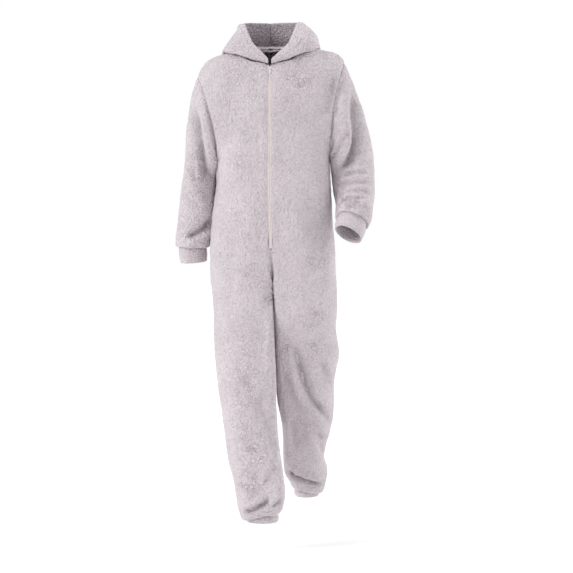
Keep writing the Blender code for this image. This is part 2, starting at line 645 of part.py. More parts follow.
def make_cloth():
    """Body panels, sleeves and cuffs."""
    grids = {}
    for side in SIDES:
        for face in FACES:
            outward = -SIDES[side] * FACES[face]
            grids[f"{face}_{side}"] = {"outer": body_panel(side, face), "closed": False, "sign": outward,
                                       "face": FACES[face]}
        grids[f"sleeve_{side}"] = {"outer": sleeve(side), "closed": True, "sign": SIDES[side], "face": -1}
    for piece in grids.values():
        piece["normals"] = grid_normals(piece["outer"], piece["closed"], piece["sign"])
    join_normals(grids)
    for name, piece in grids.items():
        height = fold_height(name, piece["outer"], piece["normals"], piece["face"])
        piece["outer"] = piece["outer"] + piece["normals"] * height[:, :, None]
        piece["own"] = grid_normals(piece["outer"], piece["closed"], piece["sign"])
        piece["normals"] = piece["own"].copy()
    join_normals(grids)
    for name, piece in grids.items():
        side = name.split("_")[1]
        armhole_rim(piece, side, name)
        zipped = name.startswith("front")
        if zipped:
            last_zip = YOKE_ROWS + CHEST_ROWS + TRUNK_ROWS
            piece["normals"][YOKE_ROWS:last_zip + 1, 0, 0] = 0.0
            lengths = np.linalg.norm(piece["normals"], axis=2, keepdims=True)
            piece["normals"] = piece["normals"] / lengths
        axis = ring_axis(side) if piece["closed"] else np.array((0.0, 0.0, -1.0))
        piece["normals"][-1] = axis
        piece["inner"] = piece["outer"] - piece["normals"] * WALL
    seam_gaps(grids)
    for name, piece in grids.items():
        loft(name, piece["outer"], piece["inner"], piece["closed"], FLEECE)
    for side in SIDES:
        for name, grid, sign in ((f"cuff_{side}", cuff(side), SIDES[side]),
                                 (f"ankle_cuff_{side}", ankle_cuff(side), -SIDES[side])):
            normals = grid_normals(grid, True, sign)
            loft(name, grid, grid - normals * WALL, True, CUFF_FLEECE)
    return grids


def armhole_rim(piece, side, name):
    """Set the wall's direction along the armhole: in its plane, and square to the piece at the underarm."""
    s = SHOULDERS[side]
    across = np.array((s.tip_x - s.under_x, 0.0, s.under_drop - s.tip_drop))
    reach = np.linalg.norm(across)
    if piece["closed"]:
        turns = sleeve_turns()
    else:
        turns = np.radians(armhole_angles()) * FACES[name.split("_")[0]]
    radial = np.outer(np.cos(turns) / (reach / 2), across / reach)
    radial[:, 1] += np.sin(turns) / ARMHOLE_DEPTH
    radial /= np.linalg.norm(radial, axis=1, keepdims=True)
    apart = np.clip(-np.cos(turns), 0.0, 1.0)[:, None] ** 4
    rim = piece["own"][0] if piece["closed"] else piece["own"][:len(turns), -1]
    rim = radial * (1 - apart) + rim * apart
    rim /= np.linalg.norm(rim, axis=1, keepdims=True)
    if piece["closed"]:
        piece["normals"][0] = rim
    else:
        piece["normals"][:len(turns), -1] = rim


def seam_gaps(grids):
    """Draw every sewn edge back so that neighbours stand a seam gap apart."""
    first_fork = YOKE_ROWS + CHEST_ROWS + TRUNK_ROWS + 1
    crotch_row = first_fork + FORK_ROWS
    for name, piece in grids.items():
        outer, inner, normals = piece["outer"], piece["inner"], piece["normals"]
        before = outer.copy()
        if piece["closed"]:
            tangents = np.roll(before[0], -1, axis=0) - np.roll(before[0], 1, axis=0)
            trim_edge(outer[0], inner[0], normals[0], before[1], tangents, amount=ARMHOLE_GAP / 2)
            continue
        side = name.split("_")[1]
        aside = np.array((SIDES[side], 0.0, 0.0))
        down = np.gradient(before, axis=0)
        across = np.gradient(before, axis=1)
        trim_edge(outer[0], inner[0], normals[0], before[1], across[0])
        hole = YOKE_ROWS + CHEST_ROWS
        trim_edge(outer[:hole, -1], inner[:hole, -1], normals[:hole, -1], before[:hole, -2], down[:hole, -1],
                  amount=ARMHOLE_GAP / 2)
        trim_edge(outer[hole:, -1], inner[hole:, -1], normals[hole:, -1], before[hole:, -2], down[hole:, -1])
        low = crotch_row + 1
        trim_edge(outer[low:, 0], inner[low:, 0], normals[low:, 0], before[low:, 1], down[low:, 0])
        high = YOKE_ROWS if name.startswith("back") else first_fork
        trim_edge(outer[high:low, 0], inner[high:low, 0], normals[high:low, 0], before[high:low, 1],
                  down[high:low, 0], inward=aside)
        toward = np.array((0.0, SIDES["left"] * (1 if name.startswith("back") else -1), 0.0))
        outer[crotch_row, 0] += toward * SEAM / 2
        inner[crotch_row, 0] += toward * SEAM / 2


def cloth_tree(grids):
    """Search tree of the body panels' outer faces."""
    points = []
    faces = []
    for name, piece in grids.items():
        if piece["closed"]:
            continue
        grid = piece["outer"]
        rows, columns = grid.shape[:2]
        start = len(points)
        points += [Vector(point) for point in grid.reshape(-1, 3)]
        for i in range(rows - 1):
            for j in range(columns - 1):
                corner = start + i * columns + j
                face = (corner, corner + 1, corner + columns + 1, corner + columns)
                faces.append(face if piece["sign"] < 0 else face[::-1])
    return BVHTree.FromPolygons(points, faces)


def neck_stations(grids, side):
    """Neckline from the zip round to the centre back: points, normals, and the way up off its edge."""
    front = grids[f"front_{side}"]
    back = grids[f"back_{side}"]
    line = []
    for piece, rows in ((front, range(YOKE_ROWS, -1, -1)), (back, range(1, YOKE_ROWS + 1))):
        line += [(piece["outer"][k, 0], piece["normals"][k, 0]) for k in rows]
    points = np.array([point for point, _ in line])
    along = np.gradient(points, axis=0)
    along[-1] = (SIDES["left"] if side == "right" else SIDES["right"], 0.0, 0.0)
    stations = []
    for (point, normal), tangent in zip(line, along):
        up = np.cross(normal, tangent) * SIDES[side]
        stations.append((point, normal, up / np.linalg.norm(up)))
    halves = []
    for here, after in zip(stations, stations[1:]):
        point, normal, up = ((here[k] + after[k]) / 2 for k in range(3))
        halves += [here, (point, normal / np.linalg.norm(normal), up / np.linalg.norm(up))]
    return halves + stations[-1:]


def hood_grid(grids, tree, side):
    """Middle of the hood's wall: rows from the neck seam to the rim, columns from front to back."""
    sign = SIDES[side]
    turns = [row.turn for row in HOOD]
    table = np.array([row[1:] for row in HOOD])
    columns = []
    feet = []
    for point, normal, up in neck_stations(grids, side):
        foot = point + up * (WALL / 2 + SEAM) + normal * SEAM
        out = np.array((foot[0] - NECK_CENTRE.x, foot[1], 0.0))
        turn = math.degrees(math.atan2(abs(out[0]), -out[1]))
        if abs(point[0] - middle(0.0)) < 2 * ZIP_HALF:
            turn = 0.0 if point[1] < 0 else 180.0
            out = np.array((0.0, -1.0 if point[1] < 0 else 1.0, 0.0))
        out /= np.linalg.norm(out)
        profile = smooth(turns, table, np.array(turn))
        own = float(ease((165 - turn) / 60))
        profile[BELLY_R] *= 1 + (HOOD_SIDES[side].belly - 1) * own
        profile[[BELLY_Z, RIM_Z]] *= 1 + (HOOD_SIDES[side].height - 1) * own
        path = [foot]
        for k in range(0, len(profile), 2):
            path.append(foot + out * profile[k] + np.array((0, 0, profile[k + 1])))
        knots = np.linspace(0.0, 1.0, len(path))
        fine = smooth(knots, np.array(path), np.linspace(0.0, 1.0, 120))
        columns.append(resample(fine, HOOD_ROWS))
        feet.append(up)
    grid = np.array(columns).swapaxes(0, 1)
    for i in range(1, grid.shape[0]):
        for j in range(grid.shape[1]):
            place, facing, _, _ = tree.find_nearest(Vector(grid[i, j]))
            over = (Vector(grid[i, j]) - place).dot(facing)
            want = min(HOOD_CLEARANCE, SEAM + HOOD_CLEARANCE * i / 1.5)
            if over < want and (Vector(grid[i, j]) - place).length < 0.05:
                grid[i, j] += np.array(facing) * (want - over)
    grid[:, -1, 0] = middle(0.0)
    return grid, feet, sign


def make_hood(grids):
    """Two hood halves, seamed from the centre back of the neck over the crown to the rim."""
    tree = cloth_tree(grids)
    for side in SIDES:
        grid, feet, sign = hood_grid(grids, tree, side)
        normals = grid_normals(grid, False, -sign)
        for j, up in enumerate(feet):
            normals[0, j] = -up
        normals[:, -1, 0] = 0.0
        normals /= np.linalg.norm(normals, axis=2, keepdims=True)
        outer = grid + normals * WALL / 2
        inner = grid - normals * WALL / 2
        for layer in (outer, inner):
            layer[:, -1, 0] = middle(0.0) + sign * SEAM / 2
            limit = middle(0.0) + sign * ZIP_HALF
            keep = np.minimum if side == "right" else np.maximum
            layer[:, 0, 0] = keep(layer[:, 0, 0], limit)
        loft(f"hood_{side}", outer, inner, False, FLEECE)


def zip_frame(drop):
    """Point of the fleece's outer face on the zip's line, the way down it, and the way out."""
    step = 0.002
    points = []
    for place in (drop - step, drop, drop + step):
        points.append(np.array((middle(place), face_depth("right", "front", place), -place)))
    down = (points[2] - points[0]) / np.linalg.norm(points[2] - points[0])
    out = np.cross(down, (1.0, 0.0, 0.0))
    out /= np.linalg.norm(out)
    return points[1], down, out if out[1] < 0 else -out


def zip_strip(name, low, high, sink, thick, start, end, material):
    """A band along the zip between two widths, its outer face `sink` below the fleece's."""
    outer = []
    inner = []
    for drop in np.linspace(start, end, ZIP_ROWS + 1):
        point, _, out = zip_frame(drop)
        edges = [point + np.array((x, 0.0, 0.0)) - out * sink for x in (low, high)]
        outer.append(edges)
        inner.append([edge - out * thick for edge in edges])
    loft(name, np.array(outer), np.array(inner), False, material)


def make_zip():
    """Two tapes, the closed chain, the slider at its top and the pull tab on the slider."""
    top = 0.050
    foot = ZIP_FOOT - SEAM
    edge = ZIP_HALF - SEAM
    zip_strip("zip_tape_right", -edge, -TAPE_INNER, TAPE_SINK, TAPE_THICK, top, foot, TAPE)
    zip_strip("zip_tape_left", TAPE_INNER, edge, TAPE_SINK, TAPE_THICK, top, foot, TAPE)
    chain_top = SLIDER_DROP + SLIDER_LENGTH / 2 + SEAM
    zip_strip("zip_chain", -CHAIN_HALF, CHAIN_HALF, CHAIN_SINK, CHAIN_THICK, chain_top, foot, TEETH)
    make_slider()


def slab(mesh, frame, low, high):
    """Box between two corners given across, along and out from a point of the zip."""
    point, down, out = frame
    result = bmesh.ops.create_cube(mesh, size=1.0)
    for vert in result["verts"]:
        place = [low[k] if vert.co[k] < 0 else high[k] for k in range(3)]
        vert.co = point + np.array((place[0], 0.0, 0.0)) + down * place[1] + out * place[2]
    return result["verts"]


def union(base, name, boxes, frame):
    """Join boxes to an object by exact union, and keep the joined mesh."""
    for k, (low, high) in enumerate(boxes):
        mesh = bmesh.new()
        slab(mesh, frame, low, high)
        bmesh.ops.recalc_face_normals(mesh, faces=mesh.faces)
        tool = bpy.data.objects.new(f"{name}_tool_{k}", bpy.data.meshes.new(f"{name}_tool_{k}"))
        mesh.to_mesh(tool.data)
        mesh.free()
        tool.hide_render = True
        tool.display_type = "WIRE"
        cutters.objects.link(tool)
        step = base.modifiers.new(f"join {k}", "BOOLEAN")
        step.operation = "UNION"
        step.solver = "EXACT"
        step.object = tool


def make_slider():
    """Slider of face plate, post, back plate and bridge, and the tab that swings in the bridge."""
    frame = zip_frame(SLIDER_DROP)
    half = SLIDER_WIDTH / 2
    along = SLIDER_LENGTH / 2
    face = SLIDER_LIFT
    mesh = bmesh.new()
    slab(mesh, frame, (-half, -along, face), (half, along, face + SLIDER_PLATE))
    bmesh.ops.recalc_face_normals(mesh, faces=mesh.faces)
    bmesh.ops.bevel(mesh, geom=mesh.edges[:], offset=0.0004, segments=1, affect="EDGES")
    slider = add_object("zip_slider", mesh, METAL)
    post = TAPE_INNER - SEAM
    back = -(TAPE_SINK + TAPE_THICK + SEAM)
    plate_top = face + SLIDER_PLATE
    bridge = BRIDGE_LENGTH / 2
    rail = BRIDGE_WIDTH / 2
    crest = plate_top + BRIDGE_HEIGHT
    overlap = SLIDER_PLATE / 4
    boxes = (
        ((-post, -along + overlap, back - overlap), (post, along - overlap, face + overlap)),
        ((-half, -along, back - SLIDER_PLATE), (half, along, back)),
        ((-rail, -bridge, face + overlap), (rail, -bridge + BRIDGE_BAR, crest)),
        ((-rail, bridge - BRIDGE_BAR, face + overlap), (rail, bridge, crest)),
        ((-rail, -bridge, crest - BRIDGE_BAR), (rail, bridge, crest)),
    )
    union(slider, "slider", boxes, frame)
    make_pull(frame, plate_top)


def make_pull(frame, plate_top):
    """Flat tab with an eye whose upper bar lies under the bridge."""
    lift = plate_top + PULL_BAR / 2 + SEAM
    half = PULL_WIDTH / 2
    thick = PULL_THICK / 2
    top = -PULL_BAR / 2
    mesh = bmesh.new()
    slab(mesh, frame, (-half, top, lift - thick), (half, top + PULL_LENGTH, lift + thick))
    bmesh.ops.recalc_face_normals(mesh, faces=mesh.faces)
    bmesh.ops.bevel(mesh, geom=[e for e in mesh.edges if abs((e.verts[0].co - e.verts[1].co).length
                                                             - PULL_THICK) < 1e-6],
                    offset=0.0015, segments=3, affect="EDGES")
    pull = add_object("zip_pull", mesh, METAL)
    eye = PULL_EYE_WIDTH / 2
    mesh = bmesh.new()
    slab(mesh, frame, (-eye, top + PULL_BAR, lift - 3 * thick),
         (eye, top + PULL_BAR + PULL_EYE_LENGTH, lift + 3 * thick))
    bmesh.ops.recalc_face_normals(mesh, faces=mesh.faces)
    tool = bpy.data.objects.new("pull_eye", bpy.data.meshes.new("pull_eye"))
    mesh.to_mesh(tool.data)
    mesh.free()
    tool.hide_render = True
    tool.display_type = "WIRE"
    cutters.objects.link(tool)
    cut = pull.modifiers.new("eye", "BOOLEAN")
    cut.operation = "DIFFERENCE"
    cut.solver = "EXACT"
    cut.object = tool


def make_material(piece, kind, colour, roughness, metallic):
    """The piece's own material of one kind of stuff."""
    material = bpy.data.materials.new(f"{piece} {kind}")
    material.use_nodes = True
    shader = material.node_tree.nodes["Principled BSDF"]
    shader.inputs["Base Color"].default_value = (*colour, 1.0)
    shader.inputs["Roughness"].default_value = roughness
    shader.inputs["Metallic"].default_value = metallic
    return material


for item in list(bpy.data.objects):
    bpy.data.objects.remove(item, do_unlink=True)
garment = bpy.data.collections.new("hooded onesie pajama")
bpy.context.scene.collection.children.link(garment)
cutters = bpy.data.collections.new("cutters")
bpy.context.scene.collection.children.link(cutters)

cloth = make_cloth()
make_hood(cloth)
make_zip()
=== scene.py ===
"""Finished look of the hooded plush fleece onesie: shells with folds, seams and pile, and its zip."""

import itertools
import math
from collections import namedtuple

import bmesh
import bpy
import numpy as np
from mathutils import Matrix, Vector
from mathutils.bvhtree import BVHTree


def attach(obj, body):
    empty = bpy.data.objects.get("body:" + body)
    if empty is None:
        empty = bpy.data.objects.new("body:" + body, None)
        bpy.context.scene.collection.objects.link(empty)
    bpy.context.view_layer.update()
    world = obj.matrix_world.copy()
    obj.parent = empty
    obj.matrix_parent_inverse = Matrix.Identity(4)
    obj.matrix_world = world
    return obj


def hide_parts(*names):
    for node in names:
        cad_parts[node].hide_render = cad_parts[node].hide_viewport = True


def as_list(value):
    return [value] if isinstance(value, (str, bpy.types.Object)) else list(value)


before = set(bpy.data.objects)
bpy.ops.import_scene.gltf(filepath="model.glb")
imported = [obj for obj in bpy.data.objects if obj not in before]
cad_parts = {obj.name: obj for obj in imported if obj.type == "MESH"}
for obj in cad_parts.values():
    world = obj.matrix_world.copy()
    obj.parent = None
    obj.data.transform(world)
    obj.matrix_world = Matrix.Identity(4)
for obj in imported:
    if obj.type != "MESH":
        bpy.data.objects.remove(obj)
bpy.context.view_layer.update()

# ---- shape, in metres; what goes through in_metres is in millimetres

WALL = 0.004            # plush fleece, backing and pile together
SEAM = 0.0003           # clear space between two sewn pieces
LEG_CLEARANCE = 0.0002  # from each leg's pile to the surface between the legs
COLUMNS = 12            # cells across a body panel, from its centre edge to its side edge
YOKE_ROWS = 6           # cells from the shoulder seam down to the widest part of the armhole
CHEST_ROWS = 5          # cells from there to the underarm
TRUNK_ROWS = 5          # cells from the underarm to the foot of the zip
FORK_ROWS = 6           # cells down the crotch curve
LEG_ROWS = 13           # cells from the crotch to the ankle
ROW_SAMPLES = 240       # places worked out along a panel's row before its cells are laid out

SIDES = {"right": -1, "left": 1}
FACES = {"front": -1, "back": 1}

ZIP_HALF = 0.00575      # half of the opening between the two fronts that the zip fills
ZIP_FOOT = 0.600        # drop of the zip's lower end
ZIP_CLOSE = 0.613       # drop where the fronts meet below the zip
CROTCH = 0.745          # drop of the crotch point
CROTCH_SIDE = 0.800     # drop of the side seam on the row that reaches the crotch point
NECK_DROPS = {"front": 0.049, "back": -0.012}    # drop of the centre edges at the neckline
UNDERARM = 0.330        # drop of the centre edges on the underarm's row
FORK_CORNER = 0.040     # rounding of each leg beside the crotch curve
FORK_OPENING = 0.3      # share of that rounding with which the crotch curve starts
SHOULDER_SLOPE = 0.35   # share of the shoulder's fall that is even, and the power of the rest at its tip
SHOULDER_ROUND = 6
ARMHOLE_PULL = 4        # power with which a yoke row bends onto the armhole towards its end
INSEAM_SHARE = 0.25     # shares of the leg over which the inseam reaches its place in depth,
CORNER_SHARE = 0.625    # and the rounding beside it reaches the leg's half width

TRUNK_POWER = 2.6       # squareness of the body's sections
LEG_POWER = 2.3
# Squareness of a leg's inner corner: square where the other leg stands in front of it.
INNER_POWERS = {"front": {"right": 5.5, "left": 9.0}, "back": {"right": 7.0, "left": 3.0}}


def in_metres(kind, rows, plain=""):
    """Named rows from a table in millimetres, or from each of several; column `plain` isn't a length."""
    if isinstance(rows, dict):
        return {key: in_metres(kind, table, plain) for key, table in rows.items()}
    scales = [1 if column == plain else 1000 for column in kind._fields]
    return tuple(kind(*(value / scale for value, scale in zip(row, scales))) for row in rows)


# Body sections by their drop below the shoulder line: side seams, middle line, front and back.
Trunk = namedtuple("Trunk", "drop right left middle front back")
TRUNK = in_metres(Trunk, (
    (-12, -165, 165, -10, -85, 72),
    (50, -185, 180, -10, -100, 106),
    (120, -192, 188, -11, -121, 123),
    (200, -186, 183, -11.5, -131, 131),
    (330, -169, 171, -12, -136, 125),
    (450, -176, 175.4, -12.4, -137, 113),
    (540, -185, 180, -9, -138, 120),
    (620, -188, 187, -5, -139, 133),
    (700, -187, 192.5, -1, -138, 139),
))

# Leg sections in mid stride, the right leg forward: side seam, inseam, centre, front and back.
Leg = namedtuple("Leg", "drop outer inner centre front back")
LEGS = in_metres(Leg, {
    "right": (
        (780, -181, 2, -18, -137, 118),
        (900, -175, 5.5, -42, -148, 66),
        (990, -167, 8.5, -60, -158, 40),
        (1060, -156, 8, -74, -168, 22),
        (1150, -142, 14, -93, -181, -3),
        (1220, -135, 20, -109, -194, -23),
        (1290, -120, 32, -125, -207, -43),
        (1335, -112, 35, -135, -213, -58),
        (1367, -105, 29, -142, -214, -72),
    ),
    "left": (
        (780, 196, 2, 18, -116, 136),
        (845, 191, 4, 30, -96, 144),
        (918, 203, 5.5, 45, -70, 152),
        (992, 192, 9.5, 60, -46, 161),
        (1068, 187, 13, 76, -22, 171),
        (1118, 184, 22, 86, -7, 178),
        (1169, 172, 29, 98, 9, 186),
        (1245, 154, 32, 115, 31, 198),
        (1290, 166, 35, 126, 45, 207),
        (1312, 167, 41, 131, 53, 209),
        (1331, 160, 53, 137, 64, 208),
    ),
})

# Shoulder seam, from the neck to the top of the armhole, and the armhole's lowest point.
Shoulder = namedtuple("Shoulder", "neck_x neck_drop tip_x tip_drop under_x under_drop bow")
SHOULDERS = {
    "right": Shoulder(-0.113, 0.002, -0.227, 0.080, -0.169, 0.336, 0.009),
    "left": Shoulder(0.100, -0.008, 0.213, 0.038, 0.171, 0.320, -0.009),
}
ARMHOLE_DEPTH = 0.088       # half of the armhole from front to back
BOW_SHARES = (1.0, 0.55, 0.2)    # shares of the armhole's bow that a sleeve's first rings keep

# Sleeve rings: outermost and innermost points, centre and half depth, and the forward pitch in degrees.
Ring = namedtuple("Ring", "out_x out_drop in_x in_drop centre depth pitch")
SLEEVES = in_metres(Ring, {
    "right": (
        (-227, 80, -169, 336, 0, 88, 0),
        (-245, 132, -170.5, 347, 2, 86, 0),
        (-256, 190, -171.5, 357, 6, 81, 0),
        (-264, 240, -172.5, 368, 11, 76, 0),
        (-268.5, 300, -173.5, 388, 18, 70, -3),
        (-274, 355, -174.5, 418, 25, 66, -5),
        (-282.5, 405, -176, 448, 31, 63, -6),
        (-290, 460, -177.5, 485, 37, 61, -6),
        (-297, 520, -182, 528, 43, 60, -6),
        (-303, 568, -190, 566, 48, 58, -6),
    ),
    "left": (
        (213, 38, 171, 320, 0, 88, 0),
        (238, 88, 172.5, 335, -2, 87, 0),
        (257, 137, 173.5, 348, -3, 83, 0),
        (273, 186, 174.5, 358, -3, 78, 0),
        (287, 235, 176, 368, -2, 74, 2),
        (299, 285, 178, 380, -1, 70, 6),
        (305, 340, 180, 398, -4, 67, 12),
        (306, 395, 183.5, 425, -20, 65, 20),
        (304, 445, 188, 458, -45, 62, 27),
        (298, 485, 188.5, 480, -70, 59, 31),
        (292, 511, 188, 500, -90, 56, 33),
    ),
}, plain="pitch")
SLEEVE_ROWS = 15

# Sleeve cuffs: the ring at the seam and the ring at the hem.
CUFFS = in_metres(Ring, {
    "right": (
        (-291, 592, -208, 590, 52, 40, -6),
        (-286, 642, -205, 636, 56, 39, -6),
    ),
    "left": (
        (279, 531, 195, 506, -102, 41, 34),
        (264, 573, 184, 539, -129, 39, 34),
    ),
}, plain="pitch")
CUFF_RISE = 0.018       # how far a cuff goes on inside the sleeve or leg above its seam

# Ankle cuffs: centre, half width, half depth, and the drops of the seam and the hem.
Ankle = namedtuple("Ankle", "x y half_width half_depth seam hem")
ANKLES = {
    "right": Ankle(-0.031, -0.150, 0.046, 0.044, 1.388, 1.411),
    "left": Ankle(0.1025, 0.142, 0.0365, 0.049, 1.350, 1.373),
}

# How cloth turns in to a narrower cuff: share of the way in, and its place along the limb from the
# seam, as a share of the fullness there and of the fullness beyond what a plain turn needs.
Tuck = namedtuple("Tuck", "share turn hang")
TUCK = (Tuck(0.08, -0.60, 0.10), Tuck(0.32, -0.16, 0.30), Tuck(0.68, 0.0, 0.36), Tuck(1.0, 0.0, 0.0))
TURN_FULLNESS = 0.012
MOST_FULLNESS = 0.030
ANKLE_TILT = {"right": 0.011, "left": -0.008}    # rise of the leg's end towards +X, over half a cuff
ANKLE_TILT_REACH = 0.060
ANKLE_TILT_END = 1.2         # half widths beyond which the tilt grows no more

# Hood profiles by their turn around the neck from the front, in degrees: out from the seam, and up.
Hood = namedtuple("Hood", "turn over_r over_z inner_r inner_z low_r low_z belly_r belly_z rim_r rim_z")
HOOD = in_metres(Hood, (
    (0, 1, 3, 2, 5, 2, 8, 2, 11, 1, 14),
    (25, 3, 5, 8, 8, 11, 15, 8, 29, -4, 43),
    (45, 6, 6, 19, 3, 27, 10, 19, 40, -18, 70),
    (65, 8, 6, 28, -2, 37, 4, 23, 48, -22, 84),
    (90, 9, 8, 30, -1, 40, 4, 25, 48, -13, 86),
    (115, 12, 12, 41, -6, 54, -22, 50, 26, 4, 88),
    (145, 18, 16, 56, -32, 85, -95, 110, -40, 32, 88),
    (165, 21, 18, 61, -46, 94, -160, 132, -80, 52, 87),
    (180, 22, 18, 62, -50, 97, -178, 138, -92, 60, 86),
), plain="turn")
# Share of the table's belly and rim heights that each half of the hood keeps at its side.
HoodSide = namedtuple("HoodSide", "belly height")
HOOD_SIDES = {"right": HoodSide(0.45, 0.97), "left": HoodSide(1.05, 0.92)}
HOOD_SIDE_TURN = 165         # turn from which a half goes over to the table, and over how many degrees
HOOD_SIDE_FADE = 60
BELLY_R, BELLY_Z, RIM_Z = (Hood._fields.index(name) - 1 for name in ("belly_r", "belly_z", "rim_z"))
HOOD_ROWS = 12
HOOD_SAMPLES = 120           # places worked out along a profile before its cells are laid out
HOOD_CLEARANCE = 0.0075      # from the middle of the hood's wall to the cloth below it
HOOD_LIFT_ROWS = 1.5         # rows over which the hood rises to it from the neck seam
HOOD_NEAR = 0.05             # how far from that cloth the clearance is looked after
NECK_CENTRE = Vector((-0.007, 0.0, 0.0))

# Zip: widths across, and how far each face lies below the fleece's outer face.
ZIP_STEP = 0.002            # distance over which the zip's direction is taken
TAPE_TOP = 0.050            # drop of the tapes' upper ends
TAPE_POINTS = 5             # points across a tape
TAPE_INNER = 0.00265
TAPE_SINK = 0.0010
TAPE_THICK = 0.0010
TAPE_RIB = 0.0013
TAPE_RIB_HEIGHT = 0.00012
RIB_ROWS = 4                # rows of faces for each rib of the zip tape
SLIDER_DROP = 0.062         # drop of the slider's middle
SLIDER_LENGTH = 0.0105
CHAIN_TOP = SLIDER_DROP + SLIDER_LENGTH / 2 + SEAM
CHAIN_HALF = 0.00235
CHAIN_SINK = 0.0004
CHAIN_THICK = 0.0022
BACKING_SINK = 0.55         # depth and thickness of the tape behind the teeth, as shares of the chain's
BACKING_THICK = 0.4
BACKING_ROWS = 176          # cells down it, and points across
BACKING_POINTS = 3
TOOTH_PITCH = 0.0025
TOOTH_LENGTH = 0.0016
TOOTH_REACH = 0.0009        # how far a tooth passes the chain's middle
TOOTH_BEVEL = 0.22          # as a share of its size

# ---- finish of the cloth, in metres

# Finer cells in each coarse row or column of the shape above.
YOKE_CELLS = 8
CHEST_CELLS = 9
TRUNK_CELLS = 16
CLOSE_CELLS = 4
FORK_CELLS = 10
LEG_CELLS = 15
TUCK_CELLS = 5
COLUMN_CELLS = 8
SLEEVE_CELLS = 11
HOOD_CELLS = 8
CUFF_CELLS = 6
INNER_STEP = 4          # cells of the outer face for each cell of the plain inner face

COARSE_MATCH = 1e-5     # distances within which edge points of two pieces are one, before and after
FINE_MATCH = 2e-5       # the cells are made finer
TINY = 1e-12            # least length that is divided by
WRAP = 3                # columns that a closed grid goes on beyond its round, for a smooth join

RIM_SWELL = 0.0016      # how far the cloth's rounded edge stands out at its middle
SEAM_DEPTH = 0.0036     # how deep a seam draws the pile in
SIDE_SEAM = 0.35        # share of that depth where the cloth faces sideways
SEAM_REACH = 0.0050
SEAM_PUFF = 0.0010      # rise of the pile beside a seam
PUFF_PLACE = 0.0130
PUFF_REACH = 0.0080
BAND_ROWS = 8           # rows over which one kind of seam goes over to the next

# Puckers that run off a seam: their height, spacing, and reach into the piece.
Pucker = namedtuple("Pucker", "height spacing reach")
PUCKERS = {
    "seam": Pucker(0.0012, 0.015, 0.020),
    "neck": Pucker(0.0024, 0.016, 0.030),
    "cuff": Pucker(0.0042, 0.016, 0.036),
    "ankle": Pucker(0.0045, 0.018, 0.042),
    "zip": Pucker(0.0006, 0.024, 0.018),
}
PUCKER_CROWD = (1.0, 0.25, 1.0)   # keeps puckers apart where a seam runs from front to back
PUCKER_SEED = 7

# Soft drape of the whole cloth: size across, size up and down, and height.
Wave = namedtuple("Wave", "across upright height")
DRAPE = (
    Wave(0.085, 0.210, 0.0045),
    Wave(0.040, 0.085, 0.0018),
)
DRAPE_SEED = 11
HOOD_DRAPE = 0.5        # share of the drape that the hood has
DRAPE_FADE = 0.030      # length over which the drape fades towards a held edge
# Lengths over which folds fade towards a piece's edges, and folds and drape towards the hood's.
Fade = namedtuple("Fade", "top bottom side")
FOLD_FADE = Fade(0.020, 0.012, 0.015)
HOOD_FADE = Fade(0.030, 0.010, 0.020)
# Pile tufts that show in the outline: size and height.
Tuft = namedtuple("Tuft", "size height")
PILE = (
    Tuft(0.0140, 0.0007),
    Tuft(0.0065, 0.0005),
)
PILE_SEED = 31
PLAIN_PILE = 0.7        # share of those heights where the pile isn't matted, and at a cuff's hidden end
HIDDEN_PILE = 0.3

